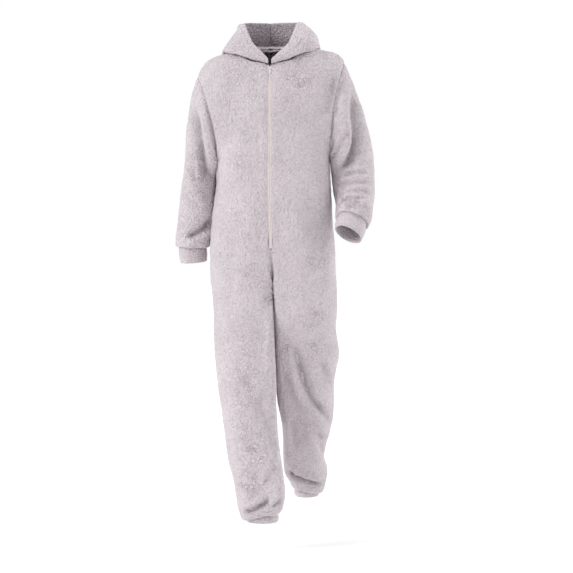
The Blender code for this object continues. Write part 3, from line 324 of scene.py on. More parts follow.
# Folds by piece and face, in millimetres: half width, depth (negative for a rise), the share of the depth
# that stands up beside it on the line's left (positive) or right (negative), and the line's (x, drop).
CREASES = {
    ("sleeve_right", "front"): (
        (19, 17, 0.45, (-240, 160), (-228, 240), (-214, 312), (-192, 372), (-172, 402)),
        (7, 6, 0.30, (-222, 262), (-210, 318), (-194, 362), (-176, 392)),
        (9.5, 18, 0.60, (-180, 505), (-204, 538), (-236, 558), (-272, 568)),
        (18, -6, 0.0, (-268, 330), (-240, 415), (-205, 470)),
        (10, 5, 0.35, (-276, 420), (-250, 452), (-214, 474)),
        (8, 5, 0.30, (-250, 300), (-240, 350), (-238, 395)),
    ),
    ("sleeve_right", "back"): (
        (15, 13, 0.40, (-240, 210), (-215, 320), (-184, 380)),
        (10, 8, 0.40, (-274, 392), (-242, 424), (-202, 436)),
        (9, 6, 0.40, (-282, 452), (-246, 476), (-210, 480)),
        (10, 11, -0.45, (-284, 530), (-250, 548), (-205, 545)),
    ),
    ("sleeve_left", "front"): (
        (17, 18, -0.50, (244, 110), (243, 190), (247, 268), (231, 322), (194, 372)),
        (7, 10, -0.40, (228, 232), (214, 262), (199, 292), (176, 326)),
        (6.5, 12, -0.35, (246, 250), (241, 292), (219, 338), (194, 368)),
        (10, 11, 0.25, (214, 74), (200, 116), (190, 165), (184, 215)),
        (11, 16, 0.0, (168, 170), (166, 215), (165, 255), (168, 290), (176, 320)),
        (7, 7, 0.60, (202, 380), (240, 369), (286, 373)),
        (8, 9, 0.60, (190, 406), (235, 399), (292, 403)),
        (7, 6, 0.60, (222, 431), (258, 425), (292, 432)),
        (7, 7, 0.50, (200, 452), (238, 448), (276, 452)),
        (7.5, 7, 0.60, (212, 476), (245, 472), (292, 482)),
    ),
    ("sleeve_left", "back"): (
        (15, 13, 0.40, (262, 160), (248, 270), (205, 350)),
        (10, 8, 0.50, (215, 372), (262, 372), (300, 352)),
        (9, 7, 0.50, (212, 405), (258, 404), (302, 388)),
        (10, 8, 0.50, (212, 446), (258, 444), (300, 428)),
    ),
    ("front_right", "front"): (
        (20, 13, -0.45, (-52, 1020), (-30, 1085), (-10, 1150), (8, 1215), (18, 1250)),
        (7.5, 17, 0.35, (-92, 1378), (-62, 1366), (-36, 1352), (-8, 1330)),
        (6.5, 10, 0.30, (-4, 1360), (12, 1349), (28, 1334)),
        (46, 12, 0.0, (-8, 640), (-8, 760), (-4, 900), (6, 1020), (20, 1120), (34, 1200)),
        (11, 7, -0.35, (10, 1236), (-8, 1268), (-28, 1294)),
        (30, -7, 0.0, (-115, 960), (-105, 1110), (-85, 1260)),
        (26, 6, 0.20, (-120, 520), (-128, 690), (-124, 860)),
        (30, -5, 0.0, (-66, 450), (-62, 560), (-70, 680)),
        (22, 6, 0.25, (-22, 760), (-30, 860), (-36, 960)),
    ),
    ("front_left", "front"): (
        (13, 15, -0.50, (56, 870), (74, 945), (92, 1010), (115, 1064), (146, 1096), (172, 1131),
         (194, 1168)),
        (5.5, 4.5, -0.35, (60, 885), (77, 950), (95, 1010), (118, 1058), (148, 1090), (176, 1124)),
        (8.5, 6.5, 0.45, (140, 930), (155, 962), (168, 997), (180, 1030)),
        (10, 6, 0.45, (30, 960), (48, 1015), (60, 1050), (78, 1090)),
        (16, -11, 0.0, (104, 1155), (118, 1205), (136, 1238), (154, 1266)),
        (7, 8, 0.30, (138, 1164), (152, 1180), (168, 1184)),
        (7, 6, 0.30, (146, 1198), (154, 1232)),
        (10, 6, -0.30, (52, 1110), (60, 1165), (70, 1215)),
        (7.8, 20, 0.40, (36, 1276), (62, 1298), (98, 1315), (130, 1325), (162, 1329)),
        (24, 6, -0.30, (128, 460), (148, 600), (152, 740)),
        (15, 8, 0.20, (196, 60), (184, 105), (172, 155), (168, 215)),
        (30, -5, 0.0, (75, 430), (86, 560), (82, 700)),
    ),
    ("back_right", "back"): (
        (22, 14, 0.40, (-150, 785), (-85, 842), (-20, 862)),
        (16, 9, 0.40, (-125, 900), (-70, 950), (-15, 960)),
        (18, 14, 0.40, (-118, 1070), (-60, 1126), (-4, 1140)),
        (11, 8, -0.35, (-108, 1172), (-60, 1202), (-26, 1200)),
        (10, 15, 0.40, (-104, 1292), (-50, 1326), (2, 1330)),
        (22, 9, 0.40, (-152, 190), (-122, 300), (-118, 430)),
        (24, 8, 0.35, (-155, 462), (-80, 505), (-12, 500)),
    ),
    ("back_left", "back"): (
        (22, 14, -0.40, (160, 775), (95, 832), (24, 850)),
        (15, 9, -0.40, (165, 884), (100, 930), (36, 944)),
        (18, 14, -0.40, (172, 1045), (112, 1112), (46, 1134)),
        (10, 8, 0.35, (154, 1160), (118, 1196), (70, 1200)),
        (10, 15, -0.40, (158, 1278), (112, 1312), (62, 1324)),
        (22, 9, -0.40, (150, 180), (120, 290), (120, 410)),
        (24, 8, -0.35, (155, 445), (80, 495), (10, 502)),
    ),
    ("hood_left", "front"): (
        (6, 5, 0.40, (64, 2), (80, -14), (96, -34)),
        (10, 4, 0.30, (92, 10), (104, -8), (110, -30)),
    ),
    ("hood_right", "front"): (
        (10, 4, 0.40, (-122, -8), (-100, 0), (-78, -6)),
    ),
}
Crease = namedtuple("Crease", "face width depth ridge line")
SOFT_WIDTH = 0.020      # half width from which a fold gets no painted shade
FULL_SHADE_DEPTH = 0.016    # depth of a fold at which its painted shade is darkest
SEAM_SHADE = 0.35       # the same for the painted shade in a seam's groove, as a share
CREASE_SAMPLES = 40
CREASE_FADE = 0.22      # share of a fold's length over which each end fades out
STEEP_SIDE = 0.70       # share of a fold's half width on the side that stands up, and on the other
GENTLE_SIDE = 1.35
CREASE_MARGIN = 5       # half widths beyond which a fold has no effect
RIDGE_PLACE = 1.6       # middle and half width of the rise beside a fold, in the fold's half widths
RIDGE_WIDTH = 1.2
CREASE_PATCH = 0.045    # size of the uneven stretches of a fold
LEAST_FACING = 0.05     # how far cloth has to face the fold's viewer to take it, and how fast it does
FACING_RISE = 2.5

# Patches by face where the pile has matted into short tufts: middle, half width, half height, strength.
Patch = namedtuple("Patch", "x drop half_x half_drop strength")
PATCHES = in_metres(Patch, {
    "front": (
        (84, 104, 50, 60, 0.75),
        (45, 160, 45, 40, 0.45),
        (-135, 84, 22, 18, 0.4),
        (-226, 380, 30, 70, 1.0),
        (-105, 350, 36, 50, 0.5),
        (35, 350, 45, 50, 0.4),
        (110, 200, 45, 60, 0.35),
        (236, 455, 38, 30, 1.0),
        (-84, 574, 24, 30, 0.5),
        (134, 634, 36, 34, 0.8),
        (-60, 690, 50, 40, 0.5),
        (-129, 800, 30, 24, 0.5),
        (125, 815, 36, 40, 0.8),
        (130, 905, 30, 30, 0.9),
        (35, 900, 22, 36, 0.7),
        (45, 990, 25, 30, 0.5),
        (-75, 990, 45, 90, 0.7),
        (-60, 1190, 42, 50, 1.0),
        (-70, 1290, 50, 45, 0.8),
        (100, 1130, 50, 50, 0.5),
    ),
    "back": (
        (-80, 150, 60, 50, 0.35),
        (70, 330, 50, 70, 0.30),
        (-250, 420, 32, 70, 0.45),
        (262, 400, 36, 60, 0.45),
        (-85, 640, 60, 60, 0.45),
        (90, 660, 60, 50, 0.45),
        (-70, 900, 45, 60, 0.25),
        (100, 960, 40, 70, 0.30),
        (-60, 1180, 40, 60, 0.40),
        (120, 1190, 36, 50, 0.40),
    ),
}, plain="strength")
MATTING_GAIN = 1.4      # strength at a patch's middle, and how widely it spreads
MATTING_SPREAD = 1.6
MATTING_FACING = 3      # how fast matting comes in where the cloth turns towards the patch's viewer
MATTING_SIZE = 0.022    # size and seed of the uneven matting within a patch
MATTING_SEED = 51

# Cut of each cloth piece as sewn, flat: width, length and area in square metres.
Cut = namedtuple("Cut", "width length area sewn_to")
CUTS = {
    "front_right": Cut(0.34, 1.46, 0.37, ("back_right", "front_left", "zip_tape_right")),
    "front_left": Cut(0.34, 1.46, 0.38, ("back_left", "front_right", "zip_tape_left")),
    "back_right": Cut(0.35, 1.46, 0.38, ("front_right", "back_left")),
    "back_left": Cut(0.35, 1.46, 0.38, ("front_left", "back_right")),
    "sleeve_right": Cut(0.52, 0.52, 0.155, ("front_right", "back_right")),
    "sleeve_left": Cut(0.52, 0.54, 0.160, ("front_left", "back_left")),
    "hood_right": Cut(0.32, 0.36, 0.085, ("front_right", "back_right", "hood_left")),
    "hood_left": Cut(0.32, 0.36, 0.092, ("front_left", "back_left", "hood_right")),
    "cuff_right": Cut(0.27, 0.058, 0.0150, ("sleeve_right",)),
    "cuff_left": Cut(0.27, 0.058, 0.0150, ("sleeve_left",)),
    "ankle_cuff_right": Cut(0.285, 0.031, 0.0085, ("front_right", "back_right")),
    "ankle_cuff_left": Cut(0.270, 0.031, 0.0080, ("front_left", "back_left")),
}

HEM_WIDTH = 0.0160          # hood's turned hem, and the row of stitches that draws it in
HEM_DEPTH = 0.0012
HEM_REACH = 0.0024
CUFF_GATHER = 0.0012        # height of a cuff's small gathers, and the swell of its middle
CUFF_BULGE = 0.0030
CUFF_FADE = 0.008           # length below a cuff's seam over which both come in
INNER_SEAM = 0.3            # share of a seam's depth on the hood's inner face

# Colours of the fleece, the height of its bump, and how far its tufts and matted locks are pushed about.
FLEECE_LIGHT = (0.650, 0.587, 0.620)
FLEECE_SHADE = (0.590, 0.532, 0.563)
PILE_BUMP = 0.0045
DRIFT = 0.7                 # bumps of that push for each tuft or lock
TUFT_PUSH = 1.6
LOCK_PUSH = 2.6
LOCK_SIZE = 1.35            # a matted lock's size, in tufts
WORN_GLOSS = 0.15           # how much rougher worn trim is

# Photo's camera: place, aim, and focal length over the sensor's width.
CAMERA_PLACE = Vector((0.03965, -5.5, -0.6))
CAMERA_AIM = Vector((0.04, 0.0, -0.715))
PICTURE_SIDE = 573
SENSOR_WIDTH = 36.0
FOCAL_PIXELS = 1803.0
FLOOR_LEVEL = -1.50
FLOOR_HALF = 40.0

# Studio lamps: direction that each comes from, strength, and how soft it is in degrees across.
Lamp = namedtuple("Lamp", "name source strength softness")
LAMPS = (
    Lamp("key", (-0.88, -0.46, 0.55), 1.55, 25.0),
    Lamp("right", (0.95, -0.25, 0.45), 0.40, 40.0),
    Lamp("rear", (0.80, 0.62, 0.60), 0.80, 45.0),
    Lamp("top", (0.10, -0.20, 1.00), 0.45, 60.0),
)
ROOM_LIGHT = 0.42       # light of the room behind the camera, and of the white walls beside the garment
WALL_LIGHT = 0.88
WALL_START = 0.25       # Y of the direction from which the walls have their full light
WHITE = (1.0, 1.0, 1.0, 1.0)

# ---- curves and sections

def smooth(knots, values, at):
    """Value at a place on the smooth curve through a table's values."""
    knots = np.asarray(knots, float)
    values = np.asarray(values, float)
    slopes = np.gradient(values, knots, axis=0)
    place = np.clip(np.asarray(at, float), knots[0], knots[-1])
    low = np.clip(np.searchsorted(knots, place, side="right") - 1, 0, len(knots) - 2)
    step = knots[low + 1] - knots[low]
    t = (place - knots[low]) / step
    if values.ndim > 1:
        t = t[..., None]
        step = step[..., None]
    start = values[low] * (2 * t ** 3 - 3 * t ** 2 + 1) + slopes[low] * step * (t ** 3 - 2 * t ** 2 + t)
    end = values[low + 1] * (3 * t ** 2 - 2 * t ** 3) + slopes[low + 1] * step * (t ** 3 - t ** 2)
    return start + end


def ease(t):
    """0 to 1 with level ends."""
    t = np.clip(t, 0.0, 1.0)
    return t * t * (3 - 2 * t)


def resample(points, count):
    """The same path with `count` cells of equal length."""
    steps = np.linalg.norm(np.diff(points, axis=0), axis=1)
    along = np.concatenate(([0.0], np.cumsum(steps)))
    wanted = np.linspace(0.0, along[-1], count + 1)
    return np.stack([np.interp(wanted, along, points[:, k]) for k in range(3)], axis=1)


def section_table(side):
    """Drops and the columns outer, inner, centre, front and back of one side, neck to ankle."""
    trunk = [(row.drop, getattr(row, side), row.middle, 0.0, row.front, row.back) for row in TRUNK]
    table = np.array(trunk + [tuple(row) for row in LEGS[side]])
    return table[:, 0], table[:, 1:]


SECTIONS = {side: section_table(side) for side in SIDES}
OUTER, INNER, CENTRE, FRONT, BACK = range(5)


def section(side, column, drop):
    knots, values = SECTIONS[side]
    return smooth(knots, values[:, column], drop)


def middle(drop):
    """X of the surface that parts the two halves and the two legs."""
    return (section("right", INNER, drop) + section("left", INNER, drop)) / 2


def face_depth(side, face, drop):
    return section(side, FRONT if face == "front" else BACK, drop)


def own_side(side, x, limit):
    """X kept on its own side of a limit."""
    return (np.minimum if side == "right" else np.maximum)(x, limit)


def keep_apart(side, points):
    """Keep a leg's points on its own side of the surface between the legs."""
    limit = middle(-points[..., 2]) + SIDES[side] * LEG_CLEARANCE
    points[..., 0] = own_side(side, points[..., 0], limit)


# ---- body panels

def armhole(side, angle):
    """Point of the armhole's edge: 0 at the shoulder tip, -90 degrees at the front, 180 below."""
    s = SHOULDERS[side]
    across = math.cos(math.radians(angle))
    depth = math.sin(math.radians(angle))
    x = (s.tip_x + s.under_x) / 2 + (s.tip_x - s.under_x) / 2 * across + s.bow * depth ** 2
    drop = (s.tip_drop + s.under_drop) / 2 + (s.tip_drop - s.under_drop) / 2 * across
    return np.array((x, ARMHOLE_DEPTH * depth, -drop))


def armhole_angles():
    """Turns from the shoulder tip to the underarm at which the panels' rows meet the armhole."""
    upper = [90 * k / YOKE_ROWS for k in range(YOKE_ROWS + 1)]
    return upper + [90 + 90 * k / CHEST_ROWS for k in range(1, CHEST_ROWS + 1)]


def panel_row(side, face, edge, corner, end, power):
    """One row of a body panel, from its centre edge around the face to its side edge."""
    sign = SIDES[side]
    edge_drop, end_drop = -edge[2], -end[2]
    face_end = face_depth(side, face, end_drop)
    centre_end = section(side, CENTRE, end_drop)
    reach = np.clip((end[1] - centre_end) / (face_end - centre_end), 0.0, 1.0)
    last = math.acos(reach ** (power / 2))
    start_x = edge[0] + sign * corner
    half = (end[0] - start_x) / math.sin(last) ** (2 / power)
    groove = abs(face_depth(side, face, edge_drop) - edge[1]) + corner
    inner_count = int(ROW_SAMPLES * groove / (groove + abs(end[0] - start_x))) if corner > 0 else 0
    inner_power = INNER_POWERS[face][side]
    rows = []
    for k in range(ROW_SAMPLES + 1):
        drop = edge_drop + (end_drop - edge_drop) * float(ease(k / ROW_SAMPLES))
        front = face_depth(side, face, drop)
        centre = section(side, CENTRE, drop)
        if k < inner_count:
            turn = math.pi / 2 * k / inner_count
            x = edge[0] + sign * corner * (1 - math.cos(turn) ** (2 / inner_power))
            y = edge[1] + (front - edge[1]) * math.sin(turn) ** (2 / inner_power)
        else:
            turn = last * (k - inner_count) / (ROW_SAMPLES - inner_count)
            x = start_x + half * math.sin(turn) ** (2 / power)
            y = centre + (front - centre) * max(math.cos(turn), 0.0) ** (2 / power)
        rows.append((x, y, -drop))
    return resample(np.array(rows), COLUMNS)


def centre_edge(side, face, drop, zipped):
    """Point of a panel's centre edge, beside the zip or on the middle line."""
    gap = ZIP_HALF if zipped else 0.0
    return np.array((middle(drop) + SIDES[side] * gap, face_depth(side, face, drop), -drop))


def side_point(side, drop):
    return np.array((section(side, OUTER, drop), section(side, CENTRE, drop), -drop))


def row_plans(side, face):
    """Centre edge, rounding beside it, side edge and squareness of each row below the yoke."""
    zipped = face == "front"
    top, under = NECK_DROPS[face], SHOULDERS[side].under_drop
    for k, angle in enumerate(armhole_angles()[YOKE_ROWS:]):
        edge = centre_edge(side, face, top + (UNDERARM - top) * k / CHEST_ROWS, zipped)
        yield edge, 0.0, armhole(side, angle * FACES[face]), TRUNK_POWER
    for k in range(1, TRUNK_ROWS + 1):
        edge = centre_edge(side, face, UNDERARM + (ZIP_FOOT - UNDERARM) * k / TRUNK_ROWS, zipped)
        yield edge, 0.0, side_point(side, under + (ZIP_FOOT - under) * k / TRUNK_ROWS), TRUNK_POWER
    # From just below the zip the centre edge runs down and under along the crotch curve.
    for share in np.linspace(0.0, 1.0, FORK_ROWS + 1):
        turn = math.pi / 2 * share
        edge = centre_edge(side, face, ZIP_CLOSE + (CROTCH - ZIP_CLOSE) * math.sin(turn), False)
        edge[1] *= math.cos(turn)
        end = side_point(side, ZIP_CLOSE + (CROTCH_SIDE - ZIP_CLOSE) * share)
        corner = FORK_CORNER * (FORK_OPENING + (1 - FORK_OPENING) * share) if share > 0 else 0.0
        yield edge, corner, end, TRUNK_POWER + (LEG_POWER - TRUNK_POWER) * share
    bottom = LEGS[side][-1].drop
    for share in np.linspace(0.0, 1.0, LEG_ROWS + 1)[1:]:
        drop = CROTCH + (bottom - CROTCH) * share
        end = side_point(side, CROTCH_SIDE + (bottom - CROTCH_SIDE) * share)
        inner = section(side, INNER, drop)
        level = section(side, CENTRE, drop) * ease(share / INSEAM_SHARE)
        corner = FORK_CORNER + (abs(end[0] - inner) / 2 - FORK_CORNER) * ease(share / CORNER_SHARE)
        yield np.array((inner, level, -drop)), corner, end, LEG_POWER


def yoke_rows(side, face, chest):
    """Rows from the shoulder seam down to the first chest row, along neckline and armhole."""
    s = SHOULDERS[side]
    share = np.linspace(0.0, 1.0, COLUMNS + 1)
    fall = SHOULDER_SLOPE * share + (1 - SHOULDER_SLOPE) * share ** SHOULDER_ROUND
    seam_x = s.neck_x + (s.tip_x - s.neck_x) * share
    seam_z = -(s.neck_drop + (s.tip_drop - s.neck_drop) * fall)
    rows = []
    for k in range(YOKE_ROWS):
        turn = math.radians(90 * k / YOKE_ROWS)
        x = chest[:, 0] + (seam_x - chest[:, 0]) * math.cos(turn) ** (0.5 + 0.5 * share)
        y = chest[:, 1] * math.sin(turn)
        z = chest[:, 2] + (seam_z - chest[:, 2]) * math.cos(turn)
        row = np.stack((x, y, z), axis=1)
        miss = armhole(side, math.degrees(turn) * FACES[face]) - row[-1]
        rows.append(row + miss * share[:, None] ** ARMHOLE_PULL)
    return rows


def ankle_ring(side, grow, drop, count):
    """Points of one half of an ankle cuff's outline, from the inseam side to the outer side."""
    ankle = ANKLES[side]
    turns = np.linspace(0.0, math.pi, count + 1)
    x = ankle.x - SIDES[side] * (ankle.half_width + grow) * np.cos(turns)
    y = ankle.y + (ankle.half_depth + grow) * np.sin(turns)
    return np.stack((x, y, np.full(count + 1, -drop)), axis=1)


def tuck_past(fullness, tuck):
    """How far a row of a tuck lies past the seam."""
    full = np.clip(fullness, 0.0, MOST_FULLNESS)
    return tuck.turn * full + tuck.hang * np.maximum(full - TURN_FULLNESS, 0.0)


def tuck_rows(side, face, last):
    """Rows in which the leg's cloth hangs over its cuff and turns in to the seam."""
    ankle = ANKLES[side]
    target = ankle_ring(side, SEAM, ankle.seam, COLUMNS)
    target[:, 1] = ankle.y + FACES[face] * (target[:, 1] - ankle.y)
    rows = []
    for tuck in TUCK:
        row = last + (target - last) * tuck.share
        row[:, 2] = -(ankle.seam + tuck_past(np.linalg.norm((target - last)[:, :2], axis=1), tuck))
        rows.append(row)
    return rows


def body_panel(side, face):
    """Outer face of one body panel as a grid of rows from the shoulder seam to the ankle."""
    rows = [panel_row(side, face, *plan) for plan in row_plans(side, face)]
    rows = yoke_rows(side, face, rows[0]) + rows
    grid = np.array(rows + tuck_rows(side, face, rows[-1]))
    fork_start = YOKE_ROWS + CHEST_ROWS + TRUNK_ROWS + 2
    leg_start = fork_start + FORK_ROWS
    keep_apart(side, grid[fork_start:leg_start, 1:])
    keep_apart(side, grid[leg_start:])
    return grid


# ---- sleeves and cuffs

def ring_points(ring, turns):
    """Points around a sleeve ring: 0 on its outermost point, the front on negative turns."""
    pitch = math.radians(ring.pitch)
    centre = np.array(((ring.out_x + ring.in_x) / 2, ring.centre, -(ring.out_drop + ring.in_drop) / 2))
    across = np.array(((ring.out_x - ring.in_x) / 2, 0.0, -(ring.out_drop - ring.in_drop) / 2))
    depth = np.array((0.0, math.cos(pitch), -math.sin(pitch))) * ring.depth
    return centre + np.outer(np.cos(turns), across) + np.outer(np.sin(turns), depth)


def sleeve_turns():
    """Turns of a sleeve's columns, which start on the armhole at the body panels' rows."""
    half = [math.radians(angle) for angle in armhole_angles()]
    return np.array(half + [2 * math.pi - turn for turn in half[-2:0:-1]])


def ring_axis(side):
    """Direction down the arm at the cuff."""
    top, hem = (ring_points(ring, np.array((0.0, math.pi))).mean(axis=0) for ring in CUFFS[side])
    return (hem - top) / np.linalg.norm(hem - top)


def sleeve(side):
    """Outer face of a sleeve as a grid of rings from the armhole to the cuff's seam."""
    turns = sleeve_turns()
    table = np.array(SLEEVES[side])
    places_down = np.linspace(0.0, len(table) - 1, SLEEVE_ROWS + 1)
    rings = [ring_points(Ring(*row), turns) for row in smooth(np.arange(len(table)), table, places_down)]
    for ring, share in zip(rings, BOW_SHARES):
        ring[:, 0] += SHOULDERS[side].bow * share * np.sin(turns) ** 2
    seam = CUFFS[side][0]
    wider = seam._replace(out_x=seam.out_x + SIDES[side] * SEAM, in_x=seam.in_x - SIDES[side] * SEAM,
                          depth=seam.depth + SEAM)
    target = ring_points(wider, turns)
    axis = ring_axis(side)
    flat = rings[-1] - np.outer((rings[-1] - target.mean(axis=0)) @ axis, axis)
    fullness = np.linalg.norm(target - flat, axis=1)
    for tuck in TUCK:
        rings.append(flat + (target - flat) * tuck.share + np.outer(tuck_past(fullness, tuck), axis))
    return np.array(rings)


def cuff(side):
    """Outer face of a sleeve cuff, from inside the sleeve to its hem."""
    turns = sleeve_turns()
    top, hem = (ring_points(ring, turns) for ring in CUFFS[side])
    rise = ring_axis(side) * CUFF_RISE
    return np.array((top - rise, top, (top + hem) / 2, hem))


def ankle_cuff(side):
    """Outer face of an ankle cuff, from inside the leg to its hem."""
    ankle = ANKLES[side]
    rings = []
    for drop in (ankle.seam - CUFF_RISE, ankle.seam, (ankle.seam + ankle.hem) / 2, ankle.hem):
        back = ankle_ring(side, 0.0, drop, COLUMNS)
        front = back[-2:0:-1] * (1, -1, 1) + (0, 2 * ankle.y, 0)
        rings.append(np.concatenate((back, front)))
    return np.array(rings)


# ---- grids and the hood

def grid_normals(grid, closed, outward):
    """Unit normals of a grid, turned outwards by the sign `outward`."""
    if closed:
        around = np.roll(grid, -1, axis=1) - np.roll(grid, 1, axis=1)
    else:
        around = np.gradient(grid, axis=1)
    down = np.gradient(grid, axis=0)
    normals = np.cross(down, around) * outward
    return normals / np.maximum(np.linalg.norm(normals, axis=2, keepdims=True), TINY)


def find_normals(pieces, match):
    """Unit normals of all pieces; edge points that lie within `match` of each other share their mean."""
    sums = {}
    spots = []
    for piece in pieces.values():
        grid = piece["grid"]
        piece["normals"] = grid_normals(grid, piece["closed"], piece["sign"])
        edge = np.zeros(grid.shape[:2], bool)
        edge[[0, -1]] = True
        if not piece["closed"]:
            edge[:, [0, -1]] = True
        for i, j in np.argwhere(edge):
            key = tuple(np.round(grid[i, j] / match).astype(int))
            sums[key] = sums.get(key, 0) + piece["normals"][i, j]
            spots.append((piece["normals"], i, j, key))
    for normals, i, j, key in spots:
        normals[i, j] = sums[key] / max(np.linalg.norm(sums[key]), TINY)


def cloth_tree(grids):
    """Search tree of the body panels' outer faces."""
    points = []
    faces = []
    for piece in grids.values():
        if piece["closed"]:
            continue
        grid = piece["grid"]
        numbers = len(points) + np.arange(grid[..., 0].size).reshape(grid.shape[:2])
        points += [Vector(point) for point in grid.reshape(-1, 3)]
        for face in cell_faces(numbers, False):
            around = face[1:] + face[:1]
            faces.append(around[::-1] if piece["sign"] < 0 else around)
    return BVHTree.FromPolygons(points, faces)


def neck_stations(grids, side):
    """Neckline from the zip round to the centre back: points, normals, and the way up off its edge."""
    line = []
    for face, rows in (("front", range(YOKE_ROWS, -1, -1)), ("back", range(1, YOKE_ROWS + 1))):
        piece = grids[f"{face}_{side}"]
        line += [(piece["grid"][k, 0], piece["normals"][k, 0]) for k in rows]
    along = np.gradient(np.array([point for point, _ in line]), axis=0)
    along[-1] = (-SIDES[side], 0.0, 0.0)
    stations = []
    for (point, normal), tangent in zip(line, along):
        up = np.cross(normal, tangent) * SIDES[side]
        stations.append((point, normal, up / np.linalg.norm(up)))
    halves = []
    for here, after in zip(stations, stations[1:]):
        point, normal, up = ((here[k] + after[k]) / 2 for k in range(3))
        halves += [here, (point, normal / np.linalg.norm(normal), up / np.linalg.norm(up))]
    return halves + stations[-1:]


def hood_profile(side, turn):
    """Steps out from the neck seam and up to the profile's points, at a turn around the neck."""
    profile = smooth([row.turn for row in HOOD], np.array([row[1:] for row in HOOD]), np.array(turn))
    own = float(ease((HOOD_SIDE_TURN - turn) / HOOD_SIDE_FADE))
    profile[BELLY_R] *= 1 + (HOOD_SIDES[side].belly - 1) * own
    profile[[BELLY_Z, RIM_Z]] *= 1 + (HOOD_SIDES[side].height - 1) * own
    return profile.reshape(-1, 2)


def hood_grid(grids, tree, side):
    """Middle of the hood's wall: rows from the neck seam to the rim, columns from front to back."""
    columns = []
    feet = []
    for point, normal, up in neck_stations(grids, side):
        foot = point + up * (WALL / 2 + SEAM) + normal * SEAM
        out = np.array((foot[0] - NECK_CENTRE.x, foot[1], 0.0))
        turn = math.degrees(math.atan2(abs(out[0]), -out[1]))
        if abs(point[0] - middle(0.0)) < 2 * ZIP_HALF:
            turn = 0.0 if point[1] < 0 else 180.0
            out = np.array((0.0, -1.0 if point[1] < 0 else 1.0, 0.0))
        out /= np.linalg.norm(out)
        path = [foot] + [foot + out * over + (0.0, 0.0, high) for over, high in hood_profile(side, turn)]
        knots = np.linspace(0.0, 1.0, len(path))
        fine = smooth(knots, np.array(path), np.linspace(0.0, 1.0, HOOD_SAMPLES))
        columns.append(resample(fine, HOOD_ROWS))
        feet.append(up)
    grid = np.array(columns).swapaxes(0, 1)
    for i, j in itertools.product(range(1, len(grid)), range(len(feet))):
        spot = Vector(grid[i, j])
        place, facing, _, _ = tree.find_nearest(spot)
        over = (spot - place).dot(facing)
        want = min(HOOD_CLEARANCE, SEAM + HOOD_CLEARANCE * i / HOOD_LIFT_ROWS)
        if over < want and (spot - place).length < HOOD_NEAR:
            grid[i, j] += np.array(facing) * (want - over)
    grid[:, -1, 0] = middle(0.0)
    return grid, feet


def zip_frame(drop):
    """Point of the fleece's outer face on the zip's line, the way down it, and the way out."""
    above, here, below = (np.array((middle(place), face_depth("right", "front", place), -place))
                          for place in (drop - ZIP_STEP, drop, drop + ZIP_STEP))
    down = (below - above) / np.linalg.norm(below - above)
    out = np.cross(down, (1.0, 0.0, 0.0))
    out /= np.linalg.norm(out)
    return here, down, out if out[1] < 0 else -out


# ---- the coarse shape, made finer

def coarse_cloth():
    """Body panels and sleeves before their folds."""
    grids = {}
    for side, sign in SIDES.items():
        for face, way in FACES.items():
            grids[f"{face}_{side}"] = {"grid": body_panel(side, face), "closed": False, "sign": -sign * way}
        grids[f"sleeve_{side}"] = {"grid": sleeve(side), "closed": True, "sign": sign}
    find_normals(grids, COARSE_MATCH)
    return grids


def places(counts):
    """Places on a coarse grid's lines at which its finer cells start, and its last line."""
    starts = [k + np.arange(count) / count for k, count in enumerate(counts)]
    return np.concatenate(starts + [[float(len(counts))]])


def row_knots(grids):
    """Mean distances down a set of like grids, by row."""
    steps = [np.linalg.norm(np.diff(grid, axis=0), axis=2).mean(axis=1) for grid in grids]
    return np.concatenate(([0.0], np.cumsum(np.mean(steps, axis=0))))


def refine_rows(grid, knots, at):
    """The smooth surface through a grid's rows, at new places."""
    flat = grid.reshape(len(grid), -1)
    fine = smooth(knots, flat, np.interp(at, np.arange(len(knots)), knots))
    return fine.reshape(len(at), *grid.shape[1:])


def refine(grid, like, row_cells, knots, column_cells, closed):
    """A grid with finer cells: rows spaced as in the grids `like` it, and columns at `knots`.

    A closed grid goes once round.
    """
    across = refine_rows(grid, row_knots(like), places(row_cells)).swapaxes(0, 1)
    at = places(column_cells)
    if closed:
        round_trip = 2 * math.pi
        across = np.concatenate((across[-WRAP:], across, across[:WRAP]))
        knots = np.concatenate((knots[-WRAP:] - round_trip, knots, knots[:WRAP] + round_trip))
        at = at[:-1] + WRAP
    return refine_rows(across, knots, at).swapaxes(0, 1)


HALF_ARMHOLE = [YOKE_CELLS] * YOKE_ROWS + [CHEST_CELLS] * CHEST_ROWS
ROUND_CELLS = HALF_ARMHOLE + HALF_ARMHOLE[::-1]
PANEL_CELLS = (HALF_ARMHOLE + [TRUNK_CELLS] * TRUNK_ROWS + [CLOSE_CELLS] + [FORK_CELLS] * FORK_ROWS
               + [LEG_CELLS] * LEG_ROWS + [TUCK_CELLS] * len(TUCK))
SLEEVE_ROW_CELLS = [SLEEVE_CELLS] * SLEEVE_ROWS + [TUCK_CELLS] * len(TUCK)
NECK_END = YOKE_ROWS * YOKE_CELLS
ARMHOLE_END = sum(HALF_ARMHOLE)
ZIP_END = ARMHOLE_END + TRUNK_ROWS * TRUNK_CELLS
FORK_START = ZIP_END + CLOSE_CELLS
CROTCH_END = FORK_START + FORK_ROWS * FORK_CELLS


def fine_cloth(coarse):
    """Body panels and sleeves with their finer cells."""
    panel = PANEL_CELLS, np.arange(COLUMNS + 1.0), [COLUMN_CELLS] * COLUMNS
    sleeve_cells = SLEEVE_ROW_CELLS, sleeve_turns(), ROUND_CELLS
    fine = {}
    for name, piece in coarse.items():
        closed = piece["closed"]
        like = [other["grid"] for other in coarse.values() if other["closed"] == closed]
        grid = refine(piece["grid"], like, *(sleeve_cells if closed else panel), closed)
        fine[name] = {**piece, "grid": grid}
    meet_seams({name: piece["grid"] for name, piece in fine.items()})
    for side, face in itertools.product(SIDES, FACES):
        turn_ankle(side, fine[f"{face}_{side}"]["grid"])
    return fine


